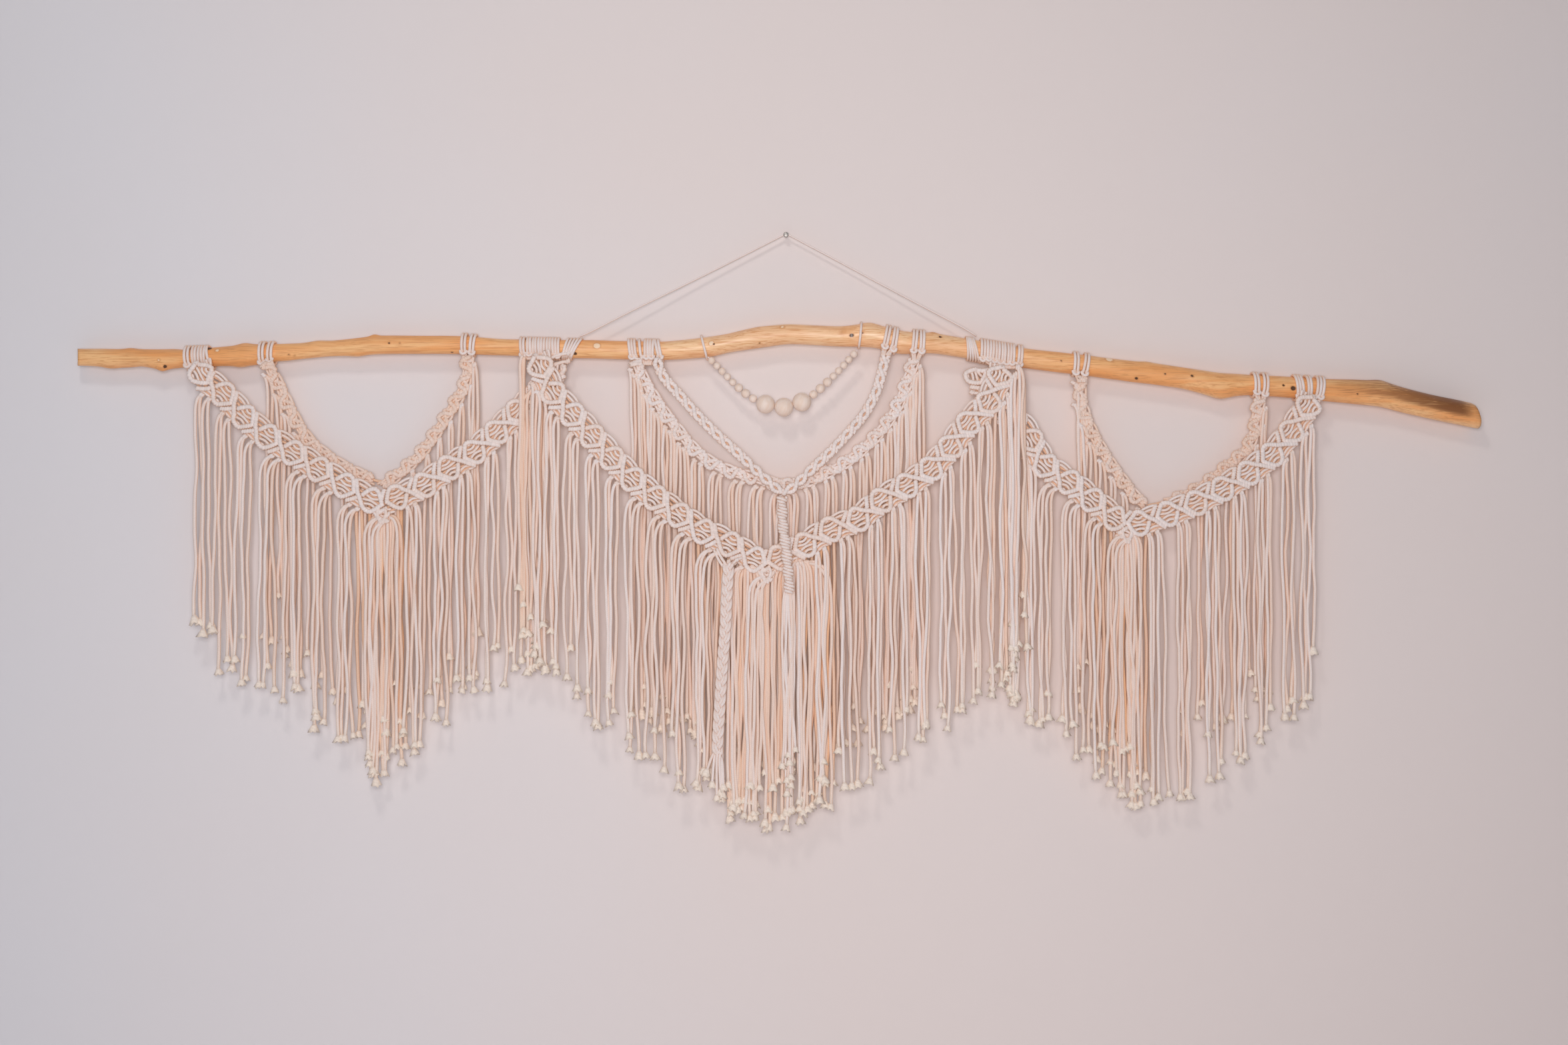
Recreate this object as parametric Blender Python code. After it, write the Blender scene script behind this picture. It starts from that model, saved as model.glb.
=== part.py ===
"""Macrame wall hanging on a branch.

Knotted bands of cotton cord hang in three swags from a crooked branch, which hangs from a wall screw on two
strands. The origin is the middle of the screw at the wall, +X runs right along the branch, -Y out of the wall
and +Z up. The tables are in millimetres.
"""
import math

import bmesh
import bpy
import numpy as np

MM = 0.001
GAP = 0.3
CORD = 4.2

BRANCH_Y = -22.5
BRANCH_SIDES = 12
LOOPS_REACH = (GAP + CORD) / math.cos(math.pi / BRANCH_SIDES) + GAP

# Branch outline from the left sawn end to the right one: x, top z, bottom z.
BRANCH = (
    (-1063, -173, -198),
    (-985, -173, -201),
    (-928, -173, -203),
    (-858, -171, -200),
    (-806, -166, -199),
    (-733, -165, -189),
    (-687, -161, -184),
    (-609, -153, -181),
    (-480, -153, -181),
    (-430, -158, -183),
    (-320, -160, -187),
    (-236, -161, -189),
    (-180, -162, -190),
    (-113, -154, -186),
    (-88, -150, -179),
    (-42, -139, -172),
    (4, -136, -166),
    (84, -139, -169),
    (127, -134, -170),
    (175, -146, -180),
    (222, -149, -180),
    (354, -171, -201),
    (495, -188, -219),
    (595, -200, -233),
    (650, -208, -247),
    (694, -211, -242),
    (809, -218, -251),
    (893, -221, -260),
    (966, -241, -278),
    (1039, -256, -294),
)

# Groups of lark's head loops round the branch, and the turns of the two thin cords: name, left x, right x.
SLEEVES = (
    ("loops_left_outer", -900, -859),
    ("loops_left_back_outer", -786, -764),
    ("loops_left_back_inner", -485, -462),
    ("loops_left_centre", -399, -338),
    ("hanger_wrap_left", -335, -309),
    ("loops_inner_left", -237, -184),
    ("garland_wrap_left", -127, -118),
    ("garland_wrap_right", 108, 114),
    ("loops_inner_right", 139, 167),
    ("loops_middle_right", 185, 208),
    ("hanger_wrap_right", 269, 286),
    ("loops_right_centre", 291, 354),
    ("loops_right_back_inner", 429, 456),
    ("loops_right_back_outer", 698, 723),
    ("loops_right_outer", 760, 808),
)

# Planes of the layers, and the half width and half thickness of each sort of band.
FRONT_Y = -45.0
SWAG_Y = -36.0
INNER_Y = -36.5
MIDDLE_Y = -27.5
BACK_Y = -26.5
WIDE = {"half_width": 18.0, "waist": 14.0, "half_thick": 4.0}
NARROW = {"half_width": 8.5, "waist": 7.5, "half_thick": 3.5}
PLAIN = {"half_width": 9.0, "waist": 9.0, "half_thick": 3.0}
HALF_FRINGE = 2.2
FINE = 8

# Bands: name, sort, plane, units, middle line from the branch to the point of the V as x, z pairs.
BANDS = (
    ("swag_left_a", WIDE, SWAG_Y, 8,
     ((-877, -191), (-866, -219), (-843, -238), (-812, -272), (-777, -303), (-741, -326), (-702, -351),
      (-662, -376), (-630, -395), (-603.15, -406))),
    ("swag_left_b", WIDE, SWAG_Y, 8,
     ((-346, -195), (-348, -212), (-368, -238), (-400, -268), (-431, -298), (-466, -329), (-506, -354), (-542, -379),
      (-581, -396), (-602.85, -406))),
    ("centre_a", WIDE, FRONT_Y, 11,
     ((-374, -180), (-349, -236), (-319, -271), (-288, -305), (-227, -370), (-158, -423), (-122, -447),
      (-85, -465), (-52, -485), (-29.15, -494))),
    ("centre_b", WIDE, FRONT_Y, 11,
     ((325, -198), (303, -252), (273, -284), (246, -320), (216, -353), (181, -378), (142, -401), (108, -428),
      (67, -444), (30, -466), (-6, -484), (-28.85, -494))),
    ("swag_right_a", WIDE, SWAG_Y, 8,
     ((284, -200), (287, -216), (316, -254), (357, -296), (385, -345), (420, -371), (457, -400), (491, -427),
      (508.85, -435))),
    ("swag_right_b", WIDE, SWAG_Y, 8,
     ((787, -243), (756, -295), (730, -328), (693, -358), (654, -382), (613, -404), (569, -421), (530, -434),
      (509.15, -435))),
    ("back_left_a", NARROW, BACK_Y, 8,
     ((-775, -194), (-764, -220), (-741, -270), (-716, -310), (-677, -342), (-635, -364), (-602.15, -375))),
    ("back_left_b", NARROW, BACK_Y, 8,
     ((-475, -183), (-482, -225), (-495, -251), (-511, -276), (-527, -301), (-552, -334), (-580, -359),
      (-601.85, -375))),
    ("middle_a", NARROW, MIDDLE_Y, 10,
     ((-226, -192), (-210, -226), (-188, -262), (-163, -295), (-139, -323), (-114, -343), (-82, -358),
      (-52, -366), (-5.15, -379))),
    ("middle_b", NARROW, MIDDLE_Y, 10,
     ((194, -181.6), (184, -210), (174, -240), (161, -268), (147, -288), (131, -307), (112, -325), (92, -341),
      (67, -355), (34, -370), (-4.85, -379))),
    ("back_right_a", NARROW, BACK_Y, 9,
     ((441, -215), (440, -239), (446, -269), (457, -296), (471, -322), (487, -347), (504, -371), (522, -394),
      (539.85, -410))),
    ("back_right_b", NARROW, BACK_Y, 9,
     ((709, -243), (704, -265), (702, -293), (695, -313), (684, -330), (665, -345), (645, -362), (620, -381),
      (580, -400), (540.15, -410))),
    ("inner_a", PLAIN, INNER_Y, 7,
     ((-193, -188.6), (-184, -214), (-158, -244), (-132, -273), (-104, -301), (-74, -328), (-43, -357),
      (-15, -382), (-6.15, -389))),
    ("inner_b", PLAIN, INNER_Y, 7,
     ((150, -179), (145, -201), (135, -237), (118, -270), (92, -301), (64, -330), (34, -358), (9, -382),
      (-5.85, -389))),
)

# Fringes: name, band that carries it, left and right x, tips as x, z pairs.
FRINGES = (
    ("fringe_swag_left_a", "swag_left_a", -896, -603.3,
     ((-896, -600), (-845, -661), (-776, -690), (-735, -725), (-668, -773), (-609, -825))),
    ("fringe_swag_left_b", "swag_left_b", -602.7, -364,
     ((-602, -825), (-568, -790), (-539, -761), (-480, -725), (-439, -696), (-404, -673), (-368, -637))),
    ("fringe_centre_a", "centre_a", -397, -29.3,
     ((-397, -650), (-351, -673), (-304, -708), (-274, -749), (-233, -784), (-186, -808), (-139, -855),
      (-109, -850), (-68, -890), (-33, -908))),
    ("fringe_centre_b", "centre_b", -28.7, 358,
     ((-33, -908), (26, -882), (91, -849), (161, -808), (220, -755), (279, -720), (320, -680), (358, -660))),
    ("fringe_swag_right_a", "swag_right_a", 326, 508.7,
     ((326, -700), (361, -731), (420, -773), (449, -814), (509, -855))),
    ("fringe_swag_right_b", "swag_right_b", 509.3, 806,
     ((509, -855), (561, -873), (614, -849), (655, -820), (714, -778), (755, -731), (779, -714), (806, -661))),
    ("fringe_back_left_a", "back_left_a", -786, -602.3,
     ((-786, -600), (-700, -690), (-602, -760))),
    ("fringe_back_left_b", "back_left_b", -601.7, -466,
     ((-602, -760), (-520, -715), (-466, -670))),
    ("fringe_middle_a", "middle_a", -237, -5.3,
     ((-237, -730), (-145, -761), (-85, -784), (-5, -829))),
    ("fringe_middle_b", "middle_b", -4.7, 203,
     ((-5, -829), (65, -791), (140, -750), (203, -710))),
    ("fringe_back_right_a", "back_right_a", 430, 539.7,
     ((430, -690), (490, -770), (540, -810))),
    ("fringe_back_right_b", "back_right_b", 540.3, 714,
     ((540, -810), (620, -770), (714, -700))),
)
TOOTH = 8.5
TOOTH_GAP = 3.5
HEADING = 8.0

# Screw in the wall.
SHANK_RADIUS = 2.3
HEAD_RADIUS = 3.9
HEAD_FRONT = -15.0
HEAD_BACK = -12.6
SCREW_SIDES = 16

# Hanger: two thin strands over the screw, a few hundredths apart from the turns on the branch.
STRAND_RADIUS = 0.95
STRAND_PLANES = (-10.8, -8.6)
OVER_SCREW = SHANK_RADIUS + GAP + STRAND_RADIUS
HANGER_ROUTE = ((-309.5, -155.5), (-292, -146.5), (-230, -114.5), (-150, -74.5), (-75, -36.5), (-12, -4.2),
                (-5.2, -0.8), (-2.4, 2.7), (0, OVER_SCREW), (2.4, 2.7), (5.2, -0.7), (12, -4.0), (70, -35),
                (140, -73), (210, -111), (262, -139), (286, -152))
HANGER_STEPS = 3

# Bead garland: thin cord between its two turns on the branch, and beads by diameter from the left.
GARLAND_Y = -32.0
GARLAND_ROUTE = ((-116.6, -186.0), (-109, -193.5), (-93, -210), (-71, -232), (-48, -249), (-22, -260.5),
                 (2, -262.5), (26, -253.5), (51, -233.5), (78, -207.5), (100, -183), (106.8, -176.2))
GARLAND_RADIUS = 1.2
BORE_RADIUS = 1.75
MOUTH_RADIUS = 2.6
LEFT_BEADS = (11.3, 11.3, 11.3, 11.3, 11.3, 13.2, 13.8, 12.6)
BIG_BEADS = (28.6, 29.0, 28.8)
RIGHT_BEADS = (13.0, 14.2, 14.0, 11.3, 11.3, 11.3, 11.3, 11.3)
BEAD_SIDES = 8
BEAD_PROFILE = (-1, -0.7, 0, 0.7, 1)

# Spiral sennit with its loose ends: x, y, z, half width, half thickness.
SENNIT = (
    (-6, -37.5, -398.4, 7, 5.5),
    (-5.5, -41.5, -420, 8, 6.5),
    (-4, -51.5, -447, 8, 7),
    (-1, -56.8, -464, 8, 7),
    (3, -56.8, -505, 8, 7),
    (5, -54.6, -536, 8, 6.5),
    (6, -52.2, -552, 8, 4.5),
    (7, -50.6, -640, 9, 3),
    (8, -50.6, -760, 10, 3),
    (11, -50.6, -845, 12, 3),
)
SENNIT_TURN = math.radians(14)

# Braid: x, y, z, half width, half thickness.
BRAID = (
    (-85, -52.1, -494, 7, 4),
    (-86, -52.1, -512, 8.5, 4.6),
    (-88, -52.1, -545, 8.5, 4.6),
    (-90, -52.1, -590, 8.5, 4.6),
    (-94, -52.1, -640, 9, 4.6),
    (-98, -52.1, -700, 8.5, 4.6),
    (-101, -52.1, -760, 8.5, 4.6),
    (-103, -52.1, -800, 7.5, 4.6),
    (-104, -52.1, -836, 10, 4),
)
BRAID_SIDES = 8

COTTON = ("cotton_cord", (0.78, 0.68, 0.60), 0.9, 0.0)
PEELED_WOOD = ("branch_wood", (0.62, 0.36, 0.17), 0.45, 0.0)
BEAD_WOOD = ("bead_wood", (0.76, 0.60, 0.42), 0.55, 0.0)
STEEL = ("screw_steel", (0.70, 0.69, 0.67), 0.35, 1.0)


def material(kind):
    """Give the material of one kind, made on its first use."""
    name, colour, roughness, metallic = kind
    found = bpy.data.materials.get(name)
    if found:
        return found
    made = bpy.data.materials.new(name)
    made.use_nodes = True
    shader = made.node_tree.nodes["Principled BSDF"]
    shader.inputs["Base Color"].default_value = (*colour, 1.0)
    shader.inputs["Roughness"].default_value = roughness
    shader.inputs["Metallic"].default_value = metallic
    return made


def add_mesh(name, corners, faces, kind):
    """Make one object of corners in millimetres, its faces turned outward."""
    mesh = bpy.data.meshes.new(name)
    mesh.from_pydata((np.asarray(corners) * MM).tolist(), [], faces)
    shape = bmesh.new()
    shape.from_mesh(mesh)
    bmesh.ops.recalc_face_normals(shape, faces=shape.faces)
    shape.to_mesh(mesh)
    shape.free()
    mesh.materials.append(material(kind))
    made = bpy.data.objects.new(name, mesh)
    bpy.context.scene.collection.objects.link(made)
    return made


def loft(name, rings, kind, closed=False):
    """Join rings of equal corner count into one skin, capped at its ends or closed on itself."""
    rings = np.asarray(rings, float)
    count, sides = rings.shape[:2]
    faces = []
    for ring in range(count if closed else count - 1):
        here, there = ring * sides, (ring + 1) % count * sides
        faces += [(here + i, here + (i + 1) % sides, there + (i + 1) % sides, there + i) for i in range(sides)]
    if not closed:
        faces += [tuple(range(sides)), tuple(range((count - 1) * sides, count * sides))]
    return add_mesh(name, rings.reshape(-1, 3), faces, kind)


def through(points, steps):
    """Read a Catmull-Rom curve through the points, the given number of steps from each point to the next."""
    points = np.array(points, float)
    ends = np.vstack([2 * points[0] - points[1], points, 2 * points[-1] - points[-2]])
    t = np.linspace(0, 1, steps, endpoint=False)[:, None]
    curve = [0.5 * (2 * b + (c - a) * t + (2 * a - 5 * b + 4 * c - d) * t ** 2 + (3 * b - a - 3 * c + d) * t ** 3)
             for a, b, c, d in zip(ends, ends[1:], ends[2:], ends[3:])]
    return np.vstack(curve + [points[-1:]])


def run_of(path):
    """Give the length of a path up to each of its points."""
    return np.concatenate([[0], np.cumsum(np.linalg.norm(np.diff(path, axis=0), axis=1))])


def smooth(points, count):
    """Read the curve through the points at equal steps of its length."""
    curve = through(points, 16)
    run = run_of(curve)
    at = np.linspace(0, run[-1], count)
    return np.column_stack([np.interp(at, run, column) for column in curve.T])


def directions(path):
    """Give the unit direction of a path at each of its points."""
    along = np.gradient(path, axis=0)
    return along / np.linalg.norm(along, axis=1)[:, None]


def circle(sides):
    """Give the cosines and sines of the corners of a regular polygon that has a corner on each axis."""
    turn = np.arange(sides) * 2 * np.pi / sides
    return np.cos(turn), np.sin(turn)


def branch_at(x):
    """Give the branch's middle height and radius at x."""
    table = np.array(BRANCH, float)
    top = np.interp(x, table[:, 0], table[:, 1])
    bottom = np.interp(x, table[:, 0], table[:, 2])
    return (top + bottom) / 2, (top - bottom) / 2


def branch_ring(x, extra=0.0):
    """Give the corners round the branch at x, moved outward by extra."""
    middle, radius = branch_at(x)
    across, up = circle(BRANCH_SIDES)
    reach = radius + extra / math.cos(math.pi / BRANCH_SIDES)
    return np.column_stack([np.full(BRANCH_SIDES, x), BRANCH_Y + reach * across, middle + reach * up])


def build_branch():
    loft("branch", [branch_ring(row[0]) for row in BRANCH], PEELED_WOOD)


def build_sleeve(name, left, right):
    """Cord turns round the branch, as one ring that follows its taper."""
    stations = [left] + [row[0] for row in BRANCH if left < row[0] < right] + [right]
    outer = [branch_ring(x, GAP + CORD) for x in stations]
    inner = [branch_ring(x, GAP) for x in reversed(stations)]
    loft(name, outer + inner, COTTON, closed=True)


def in_front(x, z, plane, half_thick):
    """Give the y of a band's middle that keeps its plane, or lies on the loops where the branch is in the way."""
    middle, radius = branch_at(x)
    reach = radius + LOOPS_REACH
    room = np.sqrt(np.maximum(reach ** 2 - (z - middle) ** 2, 0))
    resting = np.where(np.abs(z - middle) < reach, BRANCH_Y - room - half_thick, plane)
    return np.minimum(plane, resting)


def band_frame(points, count):
    """Give a band's middle line as x, z, and its unit normal that points to the upper edge."""
    line = smooth(points, count)
    along = directions(line)
    rightward = np.sign(line[-1, 0] - line[0, 0])
    upper = rightward * np.column_stack([-along[:, 1], along[:, 0]])
    upper[-1] = (0, 1)
    return line, upper


def band_widths(sort, units):
    """Give the half width at each section: full at a unit's middle, drawn in where two units meet."""
    widths = np.full(2 * units + 1, sort["waist"])
    widths[1::2] = sort["half_width"]
    return widths


def band_depths(sort, plane, units, points):
    """Give y at each section: the most forward need of the stretch up to the sections on either side."""
    line, upper = band_frame(points, 2 * units * FINE + 1)
    reach = upper * sort["half_width"]
    needs = [in_front(spot[:, 0], spot[:, 1], plane, sort["half_thick"]) for spot in (line - reach, line, line + reach)]
    needs = np.min(needs, axis=0)
    return [needs[max(at - FINE, 0):at + FINE + 1].min() for at in range(0, len(needs), FINE)]


def build_band(name, sort, plane, units, points):
    """One strip with a flat six-sided section, which follows its middle line and comes forward over the loops."""
    line, upper = band_frame(points, 2 * units + 1)
    widths = band_widths(sort, units)
    depths = band_depths(sort, plane, units, points)
    rings = []
    for spot, normal, width, y in zip(line, upper, widths, depths):
        ring = []
        for across, out in ((-1, 0), (-0.8, -1), (0.8, -1), (1, 0), (0.8, 1), (-0.8, 1)):
            x, z = spot + normal * width * across
            ring.append((x, y + out * sort["half_thick"], z))
        rings.append(ring)
    loft(name, rings, COTTON)


def lower_edge(sort, units, points):
    """Give the line one gap below a band's lower edge, from left to right."""
    line, upper = band_frame(points, 2 * units + 1)
    edge = line - upper * (band_widths(sort, units) + GAP)[:, None]
    if edge[0, 0] > edge[-1, 0]:
        edge = edge[::-1]
    kept = [edge[0]]
    for spot in edge[1:]:
        if spot[0] > kept[-1][0] + 0.4:
            kept.append(spot)
        elif spot[1] < kept[-1][1]:
            kept[-1] = np.array([kept[-1][0], spot[1]])
    return np.array(kept)


def build_fringe(name, band, left, right, tips):
    """One comb: a heading that follows the band's lower edge, and teeth of two strands down to the tips."""
    _, sort, plane, units, points = next(row for row in BANDS if row[0] == band)
    edge = lower_edge(sort, units, points)
    tips = np.array(tips, float)
    inside = edge[(edge[:, 0] > left + 0.5) & (edge[:, 0] < right - 0.5)]
    top = np.vstack([[left, np.interp(left, *edge.T)], inside, [right, np.interp(right, *edge.T)]])
    middle, radius = branch_at(top[:, 0])
    nearest = max(abs(plane - BRANCH_Y) - HALF_FRINGE, 0)
    room = np.sqrt(np.maximum((radius + LOOPS_REACH) ** 2 - nearest ** 2, 0))
    top[:, 1] = np.minimum(top[:, 1], middle - room)
    count = max(1, round((right - left + TOOTH_GAP) / (TOOTH + TOOTH_GAP)))
    pitch = (right - left + TOOTH_GAP) / count
    outline = list(top)
    for tooth in reversed(range(count)):
        start = left + tooth * pitch
        stop = start + pitch - TOOTH_GAP
        outline += [(stop, np.interp(stop, *tips.T)), (start, np.interp(start, *tips.T))]
        if tooth:
            before = start - TOOTH_GAP
            spans = top[(top[:, 0] > before) & (top[:, 0] < start), 1]
            root = min([np.interp(before, *top.T), np.interp(start, *top.T), *spans]) - HEADING
            outline += [(start, root), (before, root)]
    outline = np.array(outline)
    sides = len(outline)
    corners = [(x, plane + side, z) for side in (-HALF_FRINGE, HALF_FRINGE) for x, z in outline]
    faces = [tuple(range(sides)), tuple(range(sides, 2 * sides))]
    faces += [(i, (i + 1) % sides, sides + (i + 1) % sides, sides + i) for i in range(sides)]
    made = add_mesh(name, corners, faces, COTTON)
    shape = bmesh.new()
    shape.from_mesh(made.data)
    bmesh.ops.triangulate(shape, faces=shape.faces)
    shape.to_mesh(made.data)
    shape.free()


def build_screw():
    """Turned head and shank, the shank's flat end on the wall plane."""
    profile = ((0.0, SHANK_RADIUS), (HEAD_BACK, SHANK_RADIUS), (HEAD_BACK, HEAD_RADIUS),
               (HEAD_FRONT + 0.9, HEAD_RADIUS), (HEAD_FRONT, HEAD_RADIUS * 0.72))
    across, up = circle(SCREW_SIDES)
    rings = [np.column_stack([radius * across, np.full(SCREW_SIDES, y), radius * up]) for y, radius in profile]
    loft("screw", rings, STEEL)


def build_cord(name, route, radius, kind):
    """Round cord as a bevelled curve through the given points, in millimetres."""
    curve = bpy.data.curves.new(name, "CURVE")
    curve.dimensions = "3D"
    curve.bevel_depth = radius * MM
    curve.bevel_resolution = 2
    curve.use_fill_caps = True
    spline = curve.splines.new("POLY")
    spline.points.add(len(route) - 1)
    flat = np.column_stack([np.asarray(route) * MM, np.ones(len(route))])
    spline.points.foreach_set("co", flat.ravel())
    curve.materials.append(material(kind))
    made = bpy.data.objects.new(name, curve)
    bpy.context.scene.collection.objects.link(made)


def hanger_height(x):
    """Give the height at which a hanger strand leaves the turns on the branch at x."""
    middle, radius = branch_at(x)
    return middle + radius + LOOPS_REACH + STRAND_RADIUS


def hanger_route(plane):
    """Give the points of one strand, from the left turns over the screw to the right turns."""
    flat = [list(spot) for spot in HANGER_ROUTE]
    flat[0][1] = hanger_height(flat[0][0])
    flat[-1][1] = hanger_height(flat[-1][0])
    lean = np.clip(np.abs([spot[0] for spot in flat]) / 250.0, 0, 1)
    depth = plane + (BRANCH_Y - STRAND_PLANES[0]) * lean ** 2
    route = np.column_stack([[spot[0] for spot in flat], depth, [spot[1] for spot in flat]])
    return through(route, HANGER_STEPS)


def garland_stops():
    """Give the points where the garland's cord bends: its two ends and each meeting of two beads."""
    curve = through(GARLAND_ROUTE, 30)
    run = run_of(curve)
    beads = LEFT_BEADS + BIG_BEADS + RIGHT_BEADS
    lead = (run[-1] - sum(beads)) / 2
    at = np.concatenate([[0], lead + np.concatenate([[0], np.cumsum(beads)]), [run[-1]]])
    x = np.interp(at, run, curve[:, 0])
    z = np.interp(at, run, curve[:, 1])
    return np.column_stack([x, np.full(len(x), GARLAND_Y), z])


def turned(axis_points, radii, planes):
    """Give rings of the radii about a bent axis, each in the plane square to its own direction."""
    across, up = circle(BEAD_SIDES)
    rings = []
    for spot, radius, plane in zip(axis_points, radii, planes):
        side = np.array([-plane[2], 0.0, plane[0]])
        ring = spot + radius * (across[:, None] * side + up[:, None] * np.array([0.0, 1.0, 0.0]))
        rings.append(ring)
    return rings


def bead_radii(chords, lengths):
    """Give the radius of each bead: half its stretch of cord, less where the cord bends between two beads."""
    bends = np.sqrt((1 + np.sum(chords[1:] * chords[:-1], axis=1)) / 2)
    bends = np.concatenate([[1], bends, [1]])
    return lengths / 2 * np.minimum(bends[1:], bends[:-1]) - GAP / 2


def build_beads(name, stops, first, last):
    """Beads first to last as one turned skin on a bore, drawn in where two beads meet."""
    chords = np.diff(stops, axis=0)
    lengths = np.linalg.norm(chords, axis=1)
    chords = chords / lengths[:, None]
    sizes = bead_radii(chords, lengths)
    spots, radii, planes = [], [], []
    for index in range(first, last + 1):
        chord = chords[index]
        middle = (stops[index] + stops[index + 1]) / 2
        for share in BEAD_PROFILE:
            if share == -1 and index > first:
                continue
            joined = share == 1 and index < last
            mouth = share * math.sqrt(sizes[index] ** 2 - MOUTH_RADIUS ** 2)
            reach = sizes[index] * share if abs(share) < 1 else lengths[index] / 2 if joined else mouth
            turn = chord + chords[index + 1] if joined else chord
            spots.append(middle + chord * reach)
            radii.append(MOUTH_RADIUS if abs(share) == 1 else sizes[index] * math.sqrt(1 - share ** 2))
            planes.append(turn / np.linalg.norm(turn))
    outer = turned(spots, radii, planes)
    bore = list(range(0, len(spots), len(BEAD_PROFILE) - 1))[::-1]
    inner = turned([spots[i] for i in bore], [BORE_RADIUS] * len(bore), [planes[i] for i in bore])
    made = loft(name, outer + inner, BEAD_WOOD, closed=True)
    made.data.shade_smooth()
    made.data.set_sharp_from_angle(angle=math.radians(50))


def build_garland():
    stops = garland_stops()
    build_cord("garland_cord", stops, GARLAND_RADIUS, COTTON)
    left, big = len(LEFT_BEADS), len(BIG_BEADS)
    beads = stops[1:-1]
    build_beads("beads_left", beads, 0, left - 1)
    for number in range(big):
        build_beads(f"bead_big_{number + 1}", beads, left + number, left + number)
    build_beads("beads_right", beads, left + big, len(beads) - 2)


def build_sennit():
    """Sennit and its loose ends: a square section that turns as it goes down, then flattens."""
    rings = []
    turning = 0.0
    for x, y, z, half_width, half_thick in SENNIT:
        loose = z < SENNIT[5][2]
        turning = 0.0 if loose else turning + SENNIT_TURN
        ring = []
        for corner in range(BEAD_SIDES):
            angle = (corner + 0.5) * 2 * math.pi / BEAD_SIDES + turning
            ring.append((x + half_width * math.cos(angle), y + half_thick * math.sin(angle), z))
        rings.append(ring)
    loft("sennit", rings, COTTON)


def build_braid():
    """Flat plait of a lens-shaped section."""
    across, up = circle(BRAID_SIDES)
    rings = [np.column_stack([x + half_width * across, y + half_thick * up, np.full(BRAID_SIDES, z)])
             for x, y, z, half_width, half_thick in BRAID]
    loft("braid", rings, COTTON)


def main():
    for old in list(bpy.data.objects):
        bpy.data.objects.remove(old)
    build_branch()
    build_screw()
    for row in SLEEVES:
        build_sleeve(*row)
    for row in BANDS:
        build_band(*row)
    for row in FRINGES:
        build_fringe(*row)
    for number, plane in enumerate(STRAND_PLANES, 1):
        build_cord(f"hanger_strand_{number}", hanger_route(plane), STRAND_RADIUS, COTTON)
    build_garland()
    build_sennit()
    build_braid()


main()
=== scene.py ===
"""Looks of a macrame wall hanging: cotton cord knots and fringes on a peeled branch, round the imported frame.

The frame's origin is the middle of the wall screw, +X runs right along the branch, -Y out of the wall and
+Z up. The tables are in millimetres, as the part's own tables are, and every surface is made metres when it
is built.
"""

import math

import bpy
import numpy as np
from bpy.props import FloatProperty, FloatVectorProperty, PointerProperty
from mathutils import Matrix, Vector


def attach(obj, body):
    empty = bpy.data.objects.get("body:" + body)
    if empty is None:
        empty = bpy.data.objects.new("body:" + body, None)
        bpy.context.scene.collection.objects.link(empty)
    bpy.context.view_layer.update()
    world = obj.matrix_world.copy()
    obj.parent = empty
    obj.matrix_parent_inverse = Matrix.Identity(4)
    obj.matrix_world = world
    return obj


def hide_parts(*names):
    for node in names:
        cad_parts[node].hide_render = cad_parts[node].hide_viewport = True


bl_info = {
    "name": "Macrame wall hanging",
    "version": (1, 0, 0),
    "blender": (4, 5, 0),
    "location": "View3D > Sidebar > Hanging",
    "description": "Cords, knots, fringes, beads and branch of a macrame wall hanging",
    "category": "Object",
}

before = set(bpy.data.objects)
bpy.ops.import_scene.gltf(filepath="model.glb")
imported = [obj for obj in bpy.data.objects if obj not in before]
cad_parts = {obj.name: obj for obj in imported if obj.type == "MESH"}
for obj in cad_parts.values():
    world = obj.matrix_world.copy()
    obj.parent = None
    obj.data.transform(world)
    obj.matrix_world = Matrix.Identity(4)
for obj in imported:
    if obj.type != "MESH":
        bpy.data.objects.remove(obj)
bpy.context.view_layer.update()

MM = 0.001
GAP = 0.3
CORD = 4.2
CORD_RADIUS = 2.25
CORD_CORNERS = 8
WALLWARD = np.array([0.0, 1.0, 0.0])
RIGHTWARD = np.array([1.0, 0.0, 0.0])

# Branch outline from the left sawn end to the right one: x, top z, bottom z.
BRANCH_Y = -22.5
BRANCH = (
    (-1063, -173, -198), (-985, -173, -201), (-928, -173, -203), (-858, -171, -200), (-806, -166, -199),
    (-733, -165, -189), (-687, -161, -184), (-609, -153, -181), (-480, -153, -181), (-430, -158, -183),
    (-320, -160, -187), (-236, -161, -189), (-180, -162, -190), (-113, -154, -186), (-88, -150, -179),
    (-42, -139, -172), (4, -136, -166), (84, -139, -169), (127, -134, -170), (175, -146, -180),
    (222, -149, -180), (354, -171, -201), (495, -188, -219), (595, -200, -233), (650, -208, -247),
    (694, -211, -242), (809, -218, -251), (893, -221, -260), (966, -241, -278), (1039, -256, -294),
)
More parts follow.
